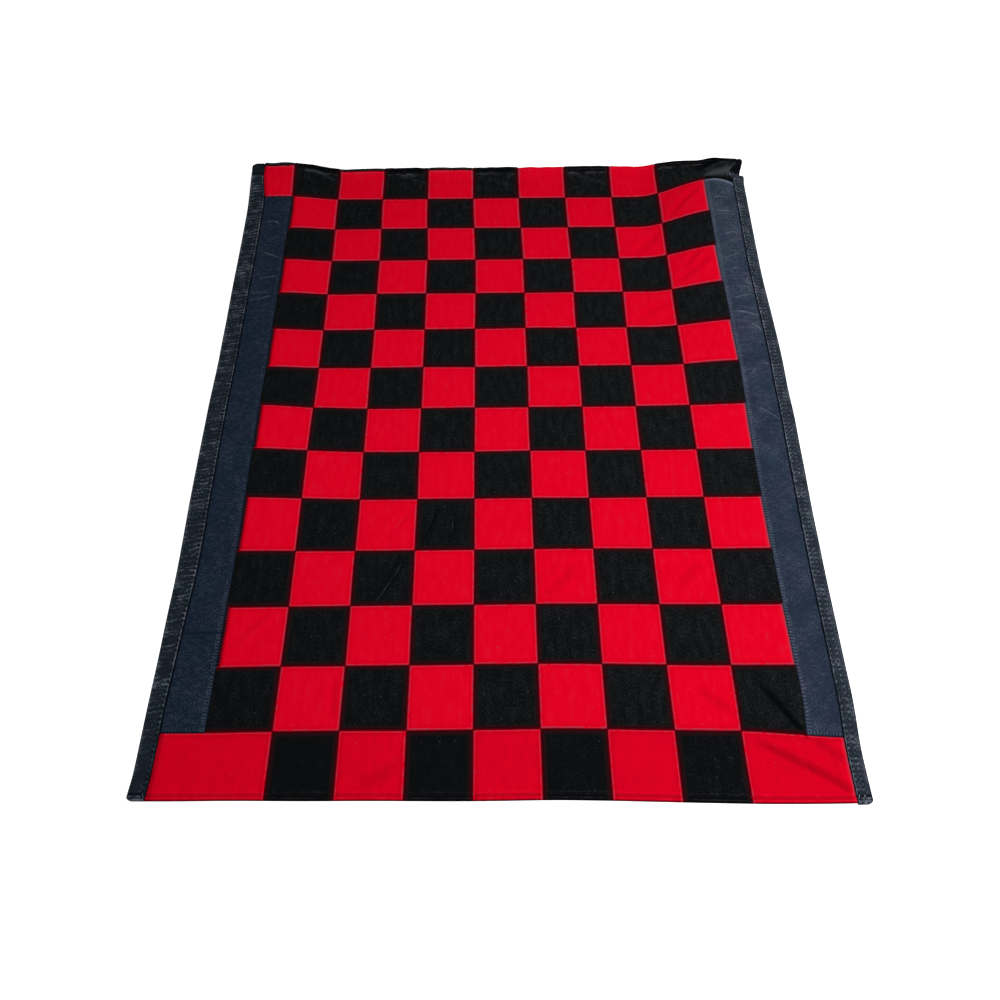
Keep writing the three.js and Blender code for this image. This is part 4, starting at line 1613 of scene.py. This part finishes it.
class QUILT_OT_stage(bpy.types.Operator):
    """Sets up the pale floor, the soft studio light and the camera"""

    bl_idname = "quilt.stage"
    bl_label = "Set Stage"

    def execute(self, context):
        scene = context.scene
        bm = bmesh.new()
        bmesh.ops.create_grid(bm, x_segments=1, y_segments=1, size=FLOOR_HALF_WIDTH)
        bmesh.ops.translate(bm, vec=(0.0, 0.0, -FLOOR_DROP), verts=bm.verts[:])
        floor = object_from("floor", bm, [self.paper(scene.quilt_colours.floor)])
        self.light("key", KEY_LAMP)
        self.light("fill", FILL_LAMP)
        world = bpy.data.worlds.new("studio")
        world.use_nodes = True
        world.node_tree.nodes["Background"].inputs["Color"].default_value = (1.0, 1.0, 1.0, 1.0)
        world.node_tree.nodes["Background"].inputs["Strength"].default_value = ROOM_LIGHT
        scene.world = world
        scene.view_settings.view_transform = "Standard"
        self.camera(scene)
        return {"FINISHED"}

    def paper(self, colour):
        """White studio sheet: matt, faintly cloudy and lit from behind, so that shadows on it stay pale."""
        material, tree, shader = new_material("backlit_white_studio_sheet")
        place = add(tree, "ShaderNodeTexCoord").outputs["Object"]
        clouds = pattern(tree, place, per_metre(FLOOR_CLOUD))
        dull = tuple(FLOOR_DULL * part for part in colour)
        tree.links.new(three_colours(tree, clouds, dull, colour, colour), shader.inputs["Base Color"])
        shader.inputs["Roughness"].default_value = 0.95
        shader.inputs["Specular IOR Level"].default_value = 0.1
        shader.inputs["Emission Color"].default_value = (1.0, 1.0, 1.0, 1.0)
        shader.inputs["Emission Strength"].default_value = FLOOR_GLOW
        return material

    def light(self, name, lamp):
        """A large square soft light that faces the middle of the quilt."""
        data = bpy.data.lights.new(name, "AREA")
        data.energy = lamp.power
        data.size = lamp.width
        made = bpy.data.objects.new(name, data)
        made.location = lamp.place
        made.rotation_euler = (-Vector(lamp.place)).to_track_quat("-Z", "Y").to_euler()
        bpy.context.scene.collection.objects.link(made)

    def camera(self, scene):
        """The camera at the height of someone standing at the near end."""
        data = bpy.data.cameras.new("camera")
        data.lens = CAMERA_LENS
        data.sensor_width = CAMERA_SENSOR
        data.sensor_fit = "HORIZONTAL"
        eye = bpy.data.objects.new("camera", data)
        place = Vector((CAMERA_ACROSS + MIDDLE_X, CAMERA_BACK + MIDDLE_Y, CAMERA_HEIGHT)) * MM
        yaw = Matrix.Rotation(math.radians(CAMERA_YAW), 4, "Z")
        tilt = Matrix.Rotation(math.radians(90.0 - CAMERA_PITCH), 4, "X")
        roll = Matrix.Rotation(math.radians(CAMERA_ROLL), 4, "Z")
        eye.matrix_world = Matrix.Translation(place) @ yaw @ tilt @ roll
        scene.collection.objects.link(eye)
        scene.camera = eye


OPERATORS = (
    QUILT_OT_patchwork,
    QUILT_OT_panels,
    QUILT_OT_bands,
    QUILT_OT_topstitching,
    QUILT_OT_overcasting,
    QUILT_OT_hemming,
    QUILT_OT_stage,
)


class QUILT_PT_sidebar(bpy.types.Panel):
    """Lists the pieces of the quilt and their sizes and colours"""

    bl_idname = "QUILT_PT_sidebar"
    bl_label = "Flannel Quilt"
    bl_space_type = "VIEW_3D"
    bl_region_type = "UI"
    bl_category = "Quilt"

    def draw(self, context):
        for operator in OPERATORS:
            self.layout.operator(operator.bl_idname)
        for group in (context.scene.quilt_sizes, context.scene.quilt_colours):
            box = self.layout.box()
            for key in group.__annotations__:
                box.prop(group, key)


CLASSES = (QuiltSizes, QuiltColours, *OPERATORS, QUILT_PT_sidebar)


def register():
    for item in CLASSES:
        bpy.utils.register_class(item)
    bpy.types.Scene.quilt_sizes = PointerProperty(type=QuiltSizes)
    bpy.types.Scene.quilt_colours = PointerProperty(type=QuiltColours)


def unregister():
    del bpy.types.Scene.quilt_colours
    del bpy.types.Scene.quilt_sizes
    for item in reversed(CLASSES):
        bpy.utils.unregister_class(item)


def main():
    """Builds the quilt piece by piece."""
    register()
    bpy.ops.quilt.patchwork()
    bpy.ops.quilt.panels()
    bpy.ops.quilt.bands()
    bpy.ops.quilt.topstitching()
    bpy.ops.quilt.overcasting()
    bpy.ops.quilt.hemming()
    bpy.ops.quilt.stage()


if __name__ == "__main__":
    main()
